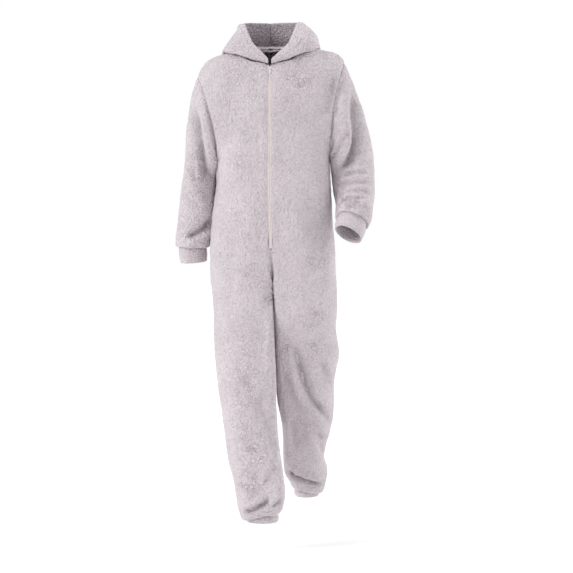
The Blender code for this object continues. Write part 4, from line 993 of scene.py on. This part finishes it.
def pull_edge(grid, rows, column, miss):
    """Move an edge's points by what each misses, and the cloth beside them less and less."""
    steps = np.arange(grid.shape[1])
    share = ease(1 - (steps if column == 0 else steps[::-1]) / (2 * COLUMN_CELLS))
    grid[rows] += miss[:, None] * share[None, :, None]


def meet_edges(first, second, rows, column):
    """Bring two pieces' sewn edges onto the line midway between them."""
    miss = (second[rows, column] - first[rows, column]) / 2
    pull_edge(first, rows, column, miss)
    pull_edge(second, rows, column, -miss)


def meet_seams(grids):
    """Bring the armholes onto the sleeves' first rings, and the body's other edges together."""
    steps = np.arange(ARMHOLE_END + 1)
    for side, (face, way) in itertools.product(SIDES, FACES.items()):
        grid = grids[f"{face}_{side}"]
        pull_edge(grid, steps, -1, grids[f"sleeve_{side}"][0, way * steps] - grid[steps, -1])
    closing = np.arange(ZIP_END + 1, CROTCH_END + 1)
    meet_edges(grids["front_right"], grids["front_left"], closing, 0)
    meet_edges(grids["back_right"], grids["back_left"], np.arange(CROTCH_END + 1), 0)
    last = len(grids["front_right"])
    for side in SIDES:
        pair = (grids[f"front_{side}"], grids[f"back_{side}"])
        meet_edges(*pair, np.arange(ARMHOLE_END, last), -1)
        meet_edges(*pair, np.arange(CROTCH_END, last), 0)


def turn_ankle(side, grid):
    """Tilt a leg's end, whose cloth hangs lower over one side of its cuff."""
    ankle = ANKLES[side]
    up = grid[..., 2] + ankle.seam
    share = np.clip((grid[..., 0] - ankle.x) / ankle.half_width, -ANKLE_TILT_END, ANKLE_TILT_END)
    grid[..., 2] += ANKLE_TILT[side] * share * ease(1 - up / ANKLE_TILT_REACH)


# ---- relief of the cloth

def lattice(place, seed):
    """Fixed pseudo-random numbers from -1 to 1 for whole-number places."""
    x, y, z, scatter, *stir = HASH_PRIMES
    mixed = place[..., 0] * x ^ place[..., 1] * y ^ place[..., 2] * z ^ seed * scatter
    mixed = (mixed ^ mixed >> 13) & LOW_BITS
    mixed = mixed * stir[0] & LOW_BITS
    mixed = (mixed ^ mixed >> 16) * stir[1] & LOW_BITS
    return mixed / (LOW_BITS >> 1) - 1.0


HASH_PRIMES = (73856093, 19349663, 83492791, 668265263, 1274126177, 2246822519)
LOW_BITS = 0xffffffff
# A fixed turn that keeps the noise's cells off the garment's axes.
TILT = np.array(((0.36, 0.48, -0.80), (-0.80, 0.60, 0.00), (0.48, 0.64, 0.60)))


def noise(points, size, seed):
    """Smooth random heights from -1 to 1, whose bumps are about `size` across."""
    spot = points @ TILT / size
    low = np.floor(spot).astype(np.int64)
    t = ease(spot - low)
    total = np.zeros(points.shape[:-1])
    for corner in itertools.product((0, 1), repeat=3):
        weight = np.prod(np.where(corner, t, 1 - t), axis=-1)
        total += weight * lattice(low + np.array(corner), seed)
    return total


def uneven(points, size, seed, mean, spread):
    """A share that wanders by `spread` about its mean."""
    return mean + spread * noise(points, size, seed)


def fold_profile(crease, off):
    """Height across a fold, from the signed distance off its line."""
    steep = off * crease.ridge > 0
    share = np.where(steep, STEEP_SIDE, GENTLE_SIDE) if crease.ridge else 1.0
    trough = np.exp(-(off / (crease.width * share)) ** 2)
    beside = off - math.copysign(RIDGE_PLACE * crease.width, crease.ridge)
    rise = abs(crease.ridge) * np.exp(-(beside / (RIDGE_WIDTH * crease.width)) ** 2)
    return crease.depth * (rise - trough)


def crease_height(crease, points, normals):
    """Height of one fold at a piece's points, on the side that faces the fold's viewer."""
    line = crease.line * (1, -1)
    knots = np.concatenate(([0.0], np.cumsum(np.linalg.norm(np.diff(line, axis=0), axis=1))))
    curve = smooth(knots, line, np.linspace(0.0, knots[-1], CREASE_SAMPLES + 1))
    margin = CREASE_MARGIN * crease.width
    flat = points[..., (0, 2)]
    facing = normals[..., 1] * FACES[crease.face]
    near = np.all((flat > curve.min(axis=0) - margin) & (flat < curve.max(axis=0) + margin), axis=-1)
    near &= facing > LEAST_FACING
    spots = flat[near]
    step = np.diff(curve, axis=0)
    from_start = spots[:, None] - curve[:-1]
    share = np.clip(np.sum(from_start * step, axis=2) / np.sum(step ** 2, axis=1), 0.0, 1.0)
    gap = from_start - share[..., None] * step
    distance = np.linalg.norm(gap, axis=2)
    best = np.argmin(distance, axis=1)
    pick = np.arange(len(spots))
    turned = step[best, 0] * gap[pick, best, 1] - step[best, 1] * gap[pick, best, 0]
    along = (best + share[pick, best]) / CREASE_SAMPLES
    fade = ease(along / CREASE_FADE) * ease((1 - along) / CREASE_FADE)
    # The number of points in its line is the fold's seed.
    patchy = uneven(points[near], CREASE_PATCH, len(line), mean=0.90, spread=0.25)
    height = np.zeros(points.shape[:-1])
    height[near] = fold_profile(crease, distance[pick, best] * np.sign(turned)) * fade * patchy
    return height * np.clip((facing - LEAST_FACING) * FACING_RISE, 0.0, 1.0)


def fold_heights(name, grid, normals):
    """Height of all folds of a piece, and of those alone that are narrow enough to get painted shade."""
    folds = np.zeros(grid.shape[:2])
    sharp = np.zeros(grid.shape[:2])
    for face in FACES:
        for width, depth, ridge, *line in CREASES.get((name, face), ()):
            crease = Crease(face, width / 1000, depth / 1000, ridge, np.array(line) / 1000)
            fold = crease_height(crease, grid, normals)
            folds += fold
            sharp += fold * (crease.width < SOFT_WIDTH)
    return folds, sharp


def lengths(grid, axis):
    """Distance along a grid's lines from its first row or column."""
    steps = np.linalg.norm(np.diff(grid, axis=axis), axis=2)
    total = np.cumsum(steps, axis=axis)
    return np.concatenate((np.zeros_like(np.take(total, [0], axis=axis)), total), axis=axis)


def edge_distances(grid):
    """Distances from a grid's first and last rows, and from its first and last columns."""
    down, across = lengths(grid, 0), lengths(grid, 1)
    return down, down[-1:] - down, across, across[:, -1:] - across


def seam_bands(name, grid):
    """(distance from the edge, kind, points along the edge, share of the rows) of each sewn edge."""
    down, up, across, back = edge_distances(grid)
    if name.startswith("sleeve"):
        return [(down, "seam", grid[:1], 1.0), (up, "cuff", grid[-1:], 1.0)]
    if name.startswith("hood"):
        return [(down, "neck", grid[:1], 1.0), (back, "seam", grid[:, -1:], 1.0)]
    rows = np.arange(len(grid))[:, None]
    zip_end = ZIP_END if name.startswith("front") else NECK_END
    past_neck, past_zip = (ease((rows - end) / BAND_ROWS + 0.5) for end in (NECK_END, zip_end))
    return [
        (down, "seam", grid[:1], 1.0),
        (up, "ankle", grid[-1:], 1.0),
        (back, "seam", grid[:, -1:], 1.0),
        (across, "neck", grid[:, :1], 1 - past_neck),
        (across, "zip", grid[:, :1], past_neck * (1 - past_zip)),
        (across, "seam", grid[:, :1], past_zip),
    ]


def seam_height(name, grid, normals):
    """Height of the seams' grooves, the rise beside them, and the puckers that run off them."""
    height = np.zeros(grid.shape[:2])
    drawn = SEAM_DEPTH * (SIDE_SEAM + (1 - SIDE_SEAM) * np.abs(normals[..., 1]))
    for distance, kind, line, share in seam_bands(name, grid):
        near = np.exp(-(distance / SEAM_REACH) ** 2)
        groove = -drawn * near * (kind != "zip")
        puff = SEAM_PUFF * np.exp(-((distance - PUFF_PLACE) / PUFF_REACH) ** 2)
        pucker = PUCKERS[kind]
        wave = pucker.height * noise(line * PUCKER_CROWD, pucker.spacing, PUCKER_SEED)
        height += (groove + puff + wave * np.exp(-distance / pucker.reach) * (1 - near)) * share
    return height


def drape_height(points):
    """Height of the cloth's broad soft waves, which run more up and down than across."""
    height = np.zeros(points.shape[:-1])
    for seed, wave in enumerate(DRAPE, DRAPE_SEED):
        height += wave.height * noise(points * (1.0, 1.0, wave.across / wave.upright), wave.across, seed)
    return height


def matting(points, normals):
    """How matted the pile is, from 0 to 1."""
    rough = np.zeros(points.shape[:-1])
    for face, patches in PATCHES.items():
        facing = np.clip(MATTING_FACING * normals[..., 1] * FACES[face], 0.0, 1.0)
        for patch in patches:
            x = (points[..., 0] - patch.x) / patch.half_x
            z = (points[..., 2] + patch.drop) / patch.half_drop
            spread = np.exp(-(x ** 2 + z ** 2) / MATTING_SPREAD)
            rough = np.maximum(rough, MATTING_GAIN * patch.strength * facing * spread)
    return np.clip(rough * uneven(points, MATTING_SIZE, MATTING_SEED, mean=0.9, spread=0.5), 0.0, 1.0)


def pile_height(points, rough=0.0):
    """Height of the pile's tufts, which stand higher where it is matted."""
    plain = sum(tuft.height * noise(points, tuft.size, seed) for seed, tuft in enumerate(PILE, PILE_SEED))
    return plain * (PLAIN_PILE + rough)


def fixed_edges(name, grid):
    """1 inside a piece and 0 on the edges that other pieces hold in place."""
    _, up, across, _ = edge_distances(grid)
    weight = ease(up / DRAPE_FADE)
    if name.startswith("sleeve"):
        return weight
    held = np.arange(len(grid))[:, None] <= (ZIP_END if name.startswith("front") else NECK_END)
    return weight * np.where(held, ease(across / DRAPE_FADE), 1.0)


def inside(piece):
    """1 inside a piece and 0 on its own sewn edges, where its folds end."""
    down, up, across, back = edge_distances(piece["grid"])
    weight = ease(down / FOLD_FADE.top) * ease(up / FOLD_FADE.bottom)
    if piece["closed"]:
        return weight
    return weight * ease(across / FOLD_FADE.side) * ease(back / FOLD_FADE.side)


def fold_and_seam_shade(sharp, seams):
    """Painted shade in sharp folds and seams, from 0 to 1."""
    drawn = np.clip(-seams / SEAM_DEPTH, 0.0, 1.0)
    return np.clip(np.clip(-sharp / FULL_SHADE_DEPTH, 0.0, 1.0) + SEAM_SHADE * drawn, 0.0, 1.0)


def shape_cloth(pieces):
    """Drape, folds, seams and pile of the panels and sleeves."""
    find_normals(pieces, FINE_MATCH)
    for name, piece in pieces.items():
        grid, free = piece["grid"], inside(piece)
        folds, sharp = fold_heights(name, grid, piece["normals"])
        height = drape_height(grid) * fixed_edges(name, grid) + folds * free
        piece["sharp"] = sharp * free
        piece["grid"] = grid + piece["normals"] * height[..., None]
    find_normals(pieces, FINE_MATCH)
    for name, piece in pieces.items():
        side = name.split("_")[1]
        grid, normals = piece["grid"], piece["normals"]
        seams = seam_height(name, grid, normals)
        rough = matting(grid, normals)
        # Painted shade: a mark that darkens the pile in sharp folds and seams.
        piece["marks"] = {"rough": rough, "hollow": fold_and_seam_shade(piece["sharp"], seams)}
        piece["outer"] = grid + normals * (seams + pile_height(grid, rough))[..., None]
        lining = normals.copy()
        lining[-1] = ring_axis(side) if piece["closed"] else (0.0, 0.0, -1.0)
        piece["inner"] = grid + normals * seams[..., None] - lining * WALL
        if not piece["closed"]:
            for layer in (piece["outer"], piece["inner"]):
                keep_apart(side, layer[FORK_START:, 1:])


# ---- shells

def edge_loops(rows, columns, closed):
    """Closed loops of (row, column, edge name) around a grid."""
    if closed:
        return [[(i, j, edge) for j in range(columns)] for i, edge in ((0, "top"), (rows - 1, "bottom"))]
    top = [(0, j, "top") for j in range(columns - 1)]
    last = [(i, columns - 1, "last") for i in range(rows - 1)]
    bottom = [(rows - 1, j, "bottom") for j in range(columns - 1, 0, -1)]
    first = [(i, 0, "first") for i in range(rows - 1, 0, -1)]
    return [top + last + bottom + first]


def cell_faces(numbers, closed):
    """Quads between a grid's vertex numbers."""
    if closed:
        numbers = np.concatenate((numbers, numbers[:, :1]), axis=1)
    corners = (numbers[:-1, :-1], numbers[1:, :-1], numbers[1:, 1:], numbers[:-1, 1:])
    return np.stack(corners, axis=-1).reshape(-1, 4).tolist()


def rim_points(outer, inner, loop, free):
    """Middle of the cloth's cut edge, standing out in a soft round where the edge is free."""
    columns = outer.shape[1]
    step_in = {"top": (1, 0), "bottom": (-1, 0), "first": (0, 1), "last": (0, -1)}
    points = []
    for i, j, edge in loop:
        point = (outer[i, j] + inner[i, j]) / 2
        if edge in free:
            di, dj = step_in[edge]
            away = outer[i, j] - outer[i + 2 * di, (j + 2 * dj) % columns]
            point = point + away / max(np.linalg.norm(away), TINY) * RIM_SWELL
        points.append(point)
    return np.array(points)


def shell(name, outer, inner, closed, material, free=(), step=INNER_STEP, marks=None):
    """Closed sheet between a fine outer face and an inner one that keeps every `step`th line."""
    rows, columns = outer.shape[:2]
    kept_rows = sorted({*range(0, rows, step), rows - 1})
    kept_columns = sorted({*range(0, columns, step), 0 if closed else columns - 1})
    outer_numbers = np.arange(rows * columns).reshape(rows, columns)
    start = rows * columns
    small = start + np.arange(len(kept_rows) * len(kept_columns)).reshape(len(kept_rows), -1)
    inner_numbers = dict(zip(itertools.product(kept_rows, kept_columns), small.ravel()))
    points = [outer.reshape(-1, 3), inner[np.ix_(kept_rows, kept_columns)].reshape(-1, 3)]
    faces = cell_faces(outer_numbers, closed) + cell_faces(small, closed)
    start += small.size
    for loop in edge_loops(rows, columns, closed):
        count = len(loop)
        rim = start + np.arange(count)
        points.append(rim_points(outer, inner, loop, free))
        start += count
        border = [outer_numbers[i, j] for i, j, _ in loop]
        for k in range(count):
            after = (k + 1) % count
            faces.append([border[k], border[after], rim[after], rim[k]])
        kept = [k for k, (i, j, _) in enumerate(loop) if (i, j) in inner_numbers]
        for k, after in zip(kept, kept[1:] + [kept[0] + count]):
            span = [rim[m % count] for m in range(k, after + 1)]
            faces.append(span + [inner_numbers[loop[m % count][:2]] for m in (after, k)])
    spread = {label: np.concatenate((values.ravel(), np.zeros(start - rows * columns)))
              for label, values in (marks or {}).items()}
    return add_piece(name, np.concatenate(points), faces, material, spread)


def place_object(name, data):
    """New object in the scene."""
    item = bpy.data.objects.new(name, data)
    bpy.context.scene.collection.objects.link(item)
    return item


def add_piece(name, points, faces, material, marks=None):
    """New object from points and faces, its faces turned outwards and shaded smooth."""
    data = bpy.data.meshes.new(name)
    data.from_pydata(np.asarray(points).tolist(), [], [[int(k) for k in face] for face in faces])
    mesh = bmesh.new()
    mesh.from_mesh(data)
    bmesh.ops.recalc_face_normals(mesh, faces=mesh.faces)
    mesh.to_mesh(data)
    mesh.free()
    data.shade_smooth()
    data.materials.append(material)
    for label, values in (marks or {}).items():
        data.attributes.new(label, "FLOAT", "POINT").data.foreach_set("value", values)
    return place_object(name, data)


def dress(item, node):
    """Hide a finished piece's CAD node, and tie the piece to the garment."""
    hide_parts(node)
    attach(item, "garment")


def sew(name, outer, inner, closed, material, slot, held, **options):
    """Sheet of cloth for a CAD node."""
    item = shell(f"{name}_fleece", outer, inner, closed, material, **options)
    dress(item, name)
    cut = CUTS[name]
    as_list(cut.sewn_to)


# ---- pieces

def make_panels(pieces, fleece):
    for name, piece in pieces.items():
        sew(name, piece["outer"], piece["inner"], piece["closed"], fleece, "plush_fleece", "hung",
            free=("first",) if name.startswith("front") else (), marks=piece["marks"])


def make_hood(coarse, fleece):
    """Hood halves whose both faces show."""
    tree = cloth_tree(coarse)
    for side, sign in SIDES.items():
        name = f"hood_{side}"
        grid, feet = hood_grid(coarse, tree, side)
        stations = np.arange(float(len(feet)))
        cells = [HOOD_CELLS] * (len(feet) - 1)
        fine = refine(grid, [grid], [HOOD_CELLS] * HOOD_ROWS, stations, cells, False)
        ups = refine_rows(np.array(feet), stations, places(cells))
        normals = grid_normals(fine, False, -sign)
        folds, _ = fold_heights(name, fine, normals)
        down, up, _, back = edge_distances(fine)
        loose = ease(down / HOOD_FADE.top) * ease(back / HOOD_FADE.side) * ease(up / HOOD_FADE.bottom)
        fine = fine + normals * ((folds + HOOD_DRAPE * drape_height(fine)) * loose)[..., None]
        normals = grid_normals(fine, False, -sign)
        near_foot = (1 - ease(np.arange(len(fine)) / HOOD_CELLS))[:, None, None]
        normals = normals * (1 - near_foot) - ups[None] * near_foot
        normals[:, -1, 0] = 0.0
        normals /= np.linalg.norm(normals, axis=2, keepdims=True)
        seams = seam_height(name, fine, normals)
        hem = -HEM_DEPTH * np.exp(-((up - HEM_WIDTH) / HEM_REACH) ** 2) * ease(down / HOOD_FADE.top)
        outer = fine + normals * (WALL / 2 + seams + hem + pile_height(fine))[..., None]
        inner = fine - normals * (WALL / 2 - INNER_SEAM * seams + hem + pile_height(fine + WALL))[..., None]
        for layer in (outer, inner):
            layer[:, -1, 0] = middle(0.0)
            layer[:, 0, 0] = own_side(side, layer[:, 0, 0], middle(0.0) + sign * ZIP_HALF)
        # Painted shade in the hood's folds and seams goes on as a mark.
        sew(name, outer, inner, False, fleece, "plush_fleece", "draped", free=("bottom", "first"), step=1,
            marks={"hollow": fold_and_seam_shade(folds, seams)})


def make_cuffs(fleece):
    """Sleeve and ankle cuffs, gathered a little below their seams."""
    even = np.arange(2 * COLUMNS) * math.pi / COLUMNS
    for side, sign in SIDES.items():
        for name, grid, knots, cells, way in (
                (f"cuff_{side}", cuff(side), sleeve_turns(), ROUND_CELLS, sign),
                (f"ankle_cuff_{side}", ankle_cuff(side), even, [COLUMN_CELLS] * 2 * COLUMNS, -sign)):
            fine = refine(grid, [grid], [CUFF_CELLS] * (len(grid) - 1), knots, cells, True)
            normals = grid_normals(fine, True, way)
            down = lengths(fine, 0)
            below = down - down[CUFF_CELLS:CUFF_CELLS + 1]
            shown = ease(below / CUFF_FADE)
            seam = fine[CUFF_CELLS:CUFF_CELLS + 1]
            height = CUFF_GATHER * noise(seam, PUCKERS["cuff"].spacing, PUCKER_SEED)
            height = (height + CUFF_BULGE * np.sin(np.clip(below / below[-1:], 0, 1) * math.pi)) * shown
            height = height + pile_height(fine) * (HIDDEN_PILE + (1 - HIDDEN_PILE) * shown)
            outer = fine + normals * height[..., None]
            sew(name, outer, fine - normals * WALL, True, fleece, "cuff_fleece", "gathered",
                free=("bottom",), step=2)


def make_strip(name, node, material, drops, across, sink, thick, rib=0.0):
    """Flat tape along the zip's line, at these drops and places across, with ribs of a height."""
    outer = []
    inner = []
    for k, drop in enumerate(drops):
        point, _, out = zip_frame(drop)
        line = point + np.outer(across, (1.0, 0.0, 0.0)) - out * sink
        outer.append(line + out * rib * math.cos(2 * math.pi * k / RIB_ROWS))
        inner.append(line - out * thick)
    dress(shell(name, np.array(outer), np.array(inner), False, material), node)


def make_tapes(material):
    """Two ribbed zip tapes."""
    foot, edge = ZIP_FOOT - SEAM, ZIP_HALF - SEAM
    drops = np.linspace(TAPE_TOP, foot, RIB_ROWS * int((foot - TAPE_TOP) / TAPE_RIB) + 1)
    for side, low, high in (("right", -edge, -TAPE_INNER), ("left", TAPE_INNER, edge)):
        make_strip(f"zip_tape_{side}_woven", f"zip_tape_{side}", material, drops,
                   np.linspace(low, high, TAPE_POINTS), TAPE_SINK, TAPE_THICK, TAPE_RIB_HEIGHT)


def make_teeth(material):
    """Closed teeth, from below the slider to the zip's foot."""
    block = bmesh.new()
    bmesh.ops.create_cube(block, size=1.0)
    bmesh.ops.bevel(block, geom=block.edges[:], offset=TOOTH_BEVEL, segments=2, profile=0.5, affect="EDGES")
    corners = np.array([vert.co[:] for vert in block.verts])
    block_faces = [[vert.index for vert in face.verts] for face in block.faces]
    block.free()
    points = []
    faces = []
    for k in range(int((ZIP_FOOT - SEAM - CHAIN_TOP) / TOOTH_PITCH * 2) - 1):
        side = np.array((1.0 if k % 2 else -1.0, 0.0, 0.0))
        point, down, out = zip_frame(CHAIN_TOP + (k + 1) * TOOTH_PITCH / 2)
        centre = point + side * (CHAIN_HALF - TOOTH_REACH) / 2 - out * (CHAIN_SINK + CHAIN_THICK / 2)
        size = (side * (CHAIN_HALF + TOOTH_REACH), down * TOOTH_LENGTH, out * CHAIN_THICK)
        faces += [[number + k * len(corners) for number in face] for face in block_faces]
        points.append(centre + corners @ np.array(size))
    item = add_piece("zip_chain_teeth", np.concatenate(points), faces, material)
    dress(item, "zip_chain")


def make_backing(material):
    """Tape behind the teeth."""
    drops = np.linspace(CHAIN_TOP, ZIP_FOOT - SEAM, BACKING_ROWS + 1)
    across = np.linspace(-CHAIN_HALF, CHAIN_HALF, BACKING_POINTS)
    make_strip("zip_chain_backing", "zip_chain", material, drops, across,
               CHAIN_SINK + BACKING_SINK * CHAIN_THICK, BACKING_THICK * CHAIN_THICK)


# ---- materials

def fill(tree, node, inputs):
    """Set a node's inputs by name or number, and link those whose value is another node's output."""
    for socket, value in inputs.items():
        if isinstance(value, bpy.types.NodeSocket):
            tree.links.new(value, node.inputs[socket])
        else:
            node.inputs[socket].default_value = value


def add_node(tree, kind, inputs=None, **settings):
    """New shader node with its settings and inputs."""
    node = tree.nodes.new(f"ShaderNode{kind}")
    for label, value in settings.items():
        setattr(node, label, value)
    fill(tree, node, inputs or {})
    return node


def ramp(tree, source, *stops):
    """Colours along a value, from (place, colour) stops, where one number is a grey."""
    made = add_node(tree, "ValToRGB", {"Fac": source})
    elements = made.color_ramp.elements
    while len(elements) < len(stops):
        elements.new(0.5)
    for element, (place, colour) in zip(elements, stops):
        element.position = place
        element.color = (*colour, 1.0) if isinstance(colour, tuple) else (colour, colour, colour, 1.0)
    return made.outputs["Color"]


def cloud(tree, spots, scale, detail, roughness=0.5, output="Fac"):
    """Soft noise whose bumps are about 1 / scale metres across."""
    inputs = {"Vector": spots, "Scale": scale, "Detail": detail, "Roughness": roughness}
    return add_node(tree, "TexNoise", inputs).outputs[output]


def blend(tree, how, first, second, factor=1.0):
    """Mix two colours; `factor` is a number or a node's output."""
    made = add_node(tree, "Mix", data_type="RGBA", blend_type=how)
    live = {socket.name: k for k, socket in enumerate(made.inputs) if socket.enabled}
    fill(tree, made, {live["Factor"]: factor, live["A"]: first, live["B"]: second})
    return next(socket for socket in made.outputs if socket.enabled)


def cell_distance(tree, spots, feature, size, push):
    """Distance within uneven cells about `size` across: from their middles, or to their edges."""
    drift = cloud(tree, spots, scale=DRIFT / size, detail=2.0, output="Color")
    shift = add_node(tree, "VectorMath", {0: drift, "Scale": push * size}, operation="SCALE")
    bent = add_node(tree, "VectorMath", {0: spots, 1: shift.outputs["Vector"]}, operation="ADD")
    inputs = {"Vector": bent.outputs["Vector"], "Scale": 1.0 / size}
    cells = add_node(tree, "TexVoronoi", inputs, feature=feature)
    return cells.outputs["Distance"]


def mark(tree, name):
    """A value that the mesh carries at its points."""
    return add_node(tree, "Attribute", attribute_name=name).outputs["Fac"]


def new_material(name):
    """Material, its node tree, and the object coordinates in it."""
    material = bpy.data.materials.new(name)
    material.use_nodes = True
    tree = material.node_tree
    return material, tree, add_node(tree, "TexCoord").outputs["Object"]


def shade_material(tree, inputs, height, strength, distance):
    """Set the shader's inputs, and its bump from a height."""
    bump = add_node(tree, "Bump", {"Strength": strength, "Distance": distance, "Height": height})
    fill(tree, tree.nodes["Principled BSDF"], {**inputs, "Normal": bump.outputs["Normal"]})


def make_fleece(name, tuft_size, strength):
    """Plush pile: tufts with painted shade between them, partings with painted shade where it is matted,
    and painted shade in folds and seams.
    """
    material, tree, spots = new_material(name)
    tone = cloud(tree, spots, scale=11.0, detail=3.0, roughness=0.55)
    broad = ramp(tree, tone, (0.34, FLEECE_SHADE), (0.66, FLEECE_LIGHT))
    tufts = cell_distance(tree, spots, "SMOOTH_F1", tuft_size, TUFT_PUSH)
    # Painted shade between the tufts, and painted light on their tops.
    tuft_shading = ramp(tree, tufts, (0.10, 1.04), (0.38, 1.0), (0.75, 0.87))
    fine = ramp(tree, cloud(tree, spots, scale=2.2 / tuft_size, detail=2.0), (0.30, 0.92), (0.70, 1.04))
    base = blend(tree, "MULTIPLY", blend(tree, "MULTIPLY", broad, tuft_shading), fine)
    edges = cell_distance(tree, spots, "DISTANCE_TO_EDGE", LOCK_SIZE * tuft_size, LOCK_PUSH)
    # Painted shade in the cracks between matted locks; the locks beside them are lighter to keep the mean
    # tone.
    parting_shade = ramp(tree, edges, (0.0, (0.52, 0.48, 0.50)), (0.12, 1.09), (0.40, 1.21))
    some = ramp(tree, cloud(tree, spots, scale=45.0, detail=3.0), (0.33, 0.0), (0.55, 1.0))
    share = add_node(tree, "Math", {0: mark(tree, "rough"), 1: some}, operation="MULTIPLY").outputs["Value"]
    coat = blend(tree, "MIX", base, blend(tree, "MULTIPLY", base, parting_shade), share)
    # Painted shade: darker where the mark of folds and seams is high.
    shade_in_folds = ramp(tree, mark(tree, "hollow"), (0.0, 1.0), (0.35, 0.91), (1.0, 0.66))
    relief = ramp(tree, tufts, (0.05, 1.0), (0.80, 0.0))
    dents = ramp(tree, edges, (0.0, 0.35), (0.30, 0.85))
    shade_material(tree, {
        "Base Color": blend(tree, "MULTIPLY", coat, shade_in_folds),
        "Roughness": 0.95,
        "Sheen Weight": 0.35,
        "Sheen Roughness": 0.5,
        "Sheen Tint": (1.0, 0.98, 0.99, 1.0),
        "Specular IOR Level": 0.15,
    }, blend(tree, "MIX", relief, dents, share), strength, PILE_BUMP)
    return material


def make_woven(name, colour, dark, scale):
    """Woven tape with a little uneven dye."""
    material, tree, spots = new_material(name)
    dye = cloud(tree, spots, scale, detail=3.0)
    shade_material(tree, {
        "Base Color": ramp(tree, dye, (0.3, dark), (0.65, colour)),
        "Roughness": ramp(tree, dye, (0.3, 0.9), (0.7, 0.7)),
    }, cloud(tree, spots, 4 * scale, detail=1.0), strength=0.35, distance=0.0003)
    return material


def make_hard(name, light, dark, metallic, roughness):
    """Moulded or cast trim: slight tarnish, and fine scratches in its gloss."""
    material, tree, spots = new_material(name)
    wear = cloud(tree, spots, scale=420.0, detail=4.0)
    shade_material(tree, {
        "Base Color": ramp(tree, wear, (0.35, dark), (0.6, light)),
        "Roughness": ramp(tree, wear, (0.3, roughness + WORN_GLOSS), (0.7, roughness)),
        "Metallic": metallic,
    }, cloud(tree, spots, scale=1500.0, detail=2.0), strength=0.15, distance=0.0001)
    return material


# ---- floor, light and camera

def make_floor():
    """Pale floor that runs to the horizon."""
    mesh = bmesh.new()
    bmesh.ops.create_grid(mesh, x_segments=8, y_segments=8, size=FLOOR_HALF)
    data = bpy.data.meshes.new("studio_floor")
    mesh.to_mesh(data)
    mesh.free()
    material, tree, spots = new_material("studio floor")
    tone = ramp(tree, cloud(tree, spots, scale=0.4, detail=1.0), (0.3, 0.96), (0.7, 0.98))
    fill(tree, tree.nodes["Principled BSDF"], {"Base Color": tone, "Roughness": 0.9})
    data.materials.append(material)
    floor = place_object("studio_floor", data)
    floor.location.z = FLOOR_LEVEL


def aim(item, direction):
    """Turn a lamp or the camera towards a direction."""
    item.rotation_euler = direction.to_track_quat("-Z", "Y").to_euler()


def make_lights():
    """White studio, dimmer towards the camera's side, seen as plain white, and the lamps."""
    world = bpy.data.worlds.new("studio")
    world.use_nodes = True
    tree = world.node_tree
    seen = tree.nodes["Background"]
    fill(tree, seen, {"Color": WHITE, "Strength": 1.0})
    parts = add_node(tree, "SeparateXYZ", {0: add_node(tree, "TexCoord").outputs["Generated"]})
    spread = add_node(tree, "MapRange", {
        "Value": parts.outputs["Y"], "From Min": -1.0, "From Max": WALL_START, "To Min": ROOM_LIGHT,
        "To Max": WALL_LIGHT}, interpolation_type="SMOOTHSTEP")
    lit = add_node(tree, "Background", {"Color": WHITE, "Strength": spread.outputs["Result"]})
    path = add_node(tree, "LightPath")
    mix = add_node(tree, "MixShader", {
        0: path.outputs["Is Camera Ray"], 1: lit.outputs[0], 2: seen.outputs[0]})
    fill(tree, tree.nodes["World Output"], {"Surface": mix.outputs[0]})
    bpy.context.scene.world = world
    for lamp in LAMPS:
        data = bpy.data.lights.new(lamp.name, "SUN")
        data.energy = lamp.strength
        data.angle = math.radians(lamp.softness)
        aim(place_object(lamp.name, data), -Vector(lamp.source))


def make_camera():
    data = bpy.data.cameras.new("camera")
    data.sensor_width = SENSOR_WIDTH
    data.lens = FOCAL_PIXELS / PICTURE_SIDE * SENSOR_WIDTH
    camera = place_object("camera", data)
    camera.location = CAMERA_PLACE
    aim(camera, CAMERA_AIM - CAMERA_PLACE)
    bpy.context.scene.camera = camera


make_camera()
make_lights()
make_floor()
bpy.context.scene.view_settings.view_transform = "Standard"

fleece = make_fleece("plush fleece", tuft_size=0.0058, strength=1.0)
cuff_fleece = make_fleece("cuff fleece", tuft_size=0.0045, strength=0.8)
tape = make_woven("zip tape", (0.78, 0.70, 0.69), dark=(0.66, 0.575, 0.57), scale=900.0)
teeth = make_hard("zip teeth", (0.80, 0.75, 0.73), dark=(0.70, 0.64, 0.62), metallic=0.0, roughness=0.4)
metal = make_hard("zip metal", (0.92, 0.91, 0.89), dark=(0.82, 0.81, 0.79), metallic=0.60, roughness=0.36)

coarse = coarse_cloth()
pieces = fine_cloth(coarse)
shape_cloth(pieces)
make_panels(pieces, fleece)
make_hood(coarse, fleece)
make_cuffs(cuff_fleece)
make_tapes(tape)
make_teeth(teeth)
make_backing(tape)
for name in ("zip_slider", "zip_pull"):
    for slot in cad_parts[name].material_slots:
        slot.material = metal
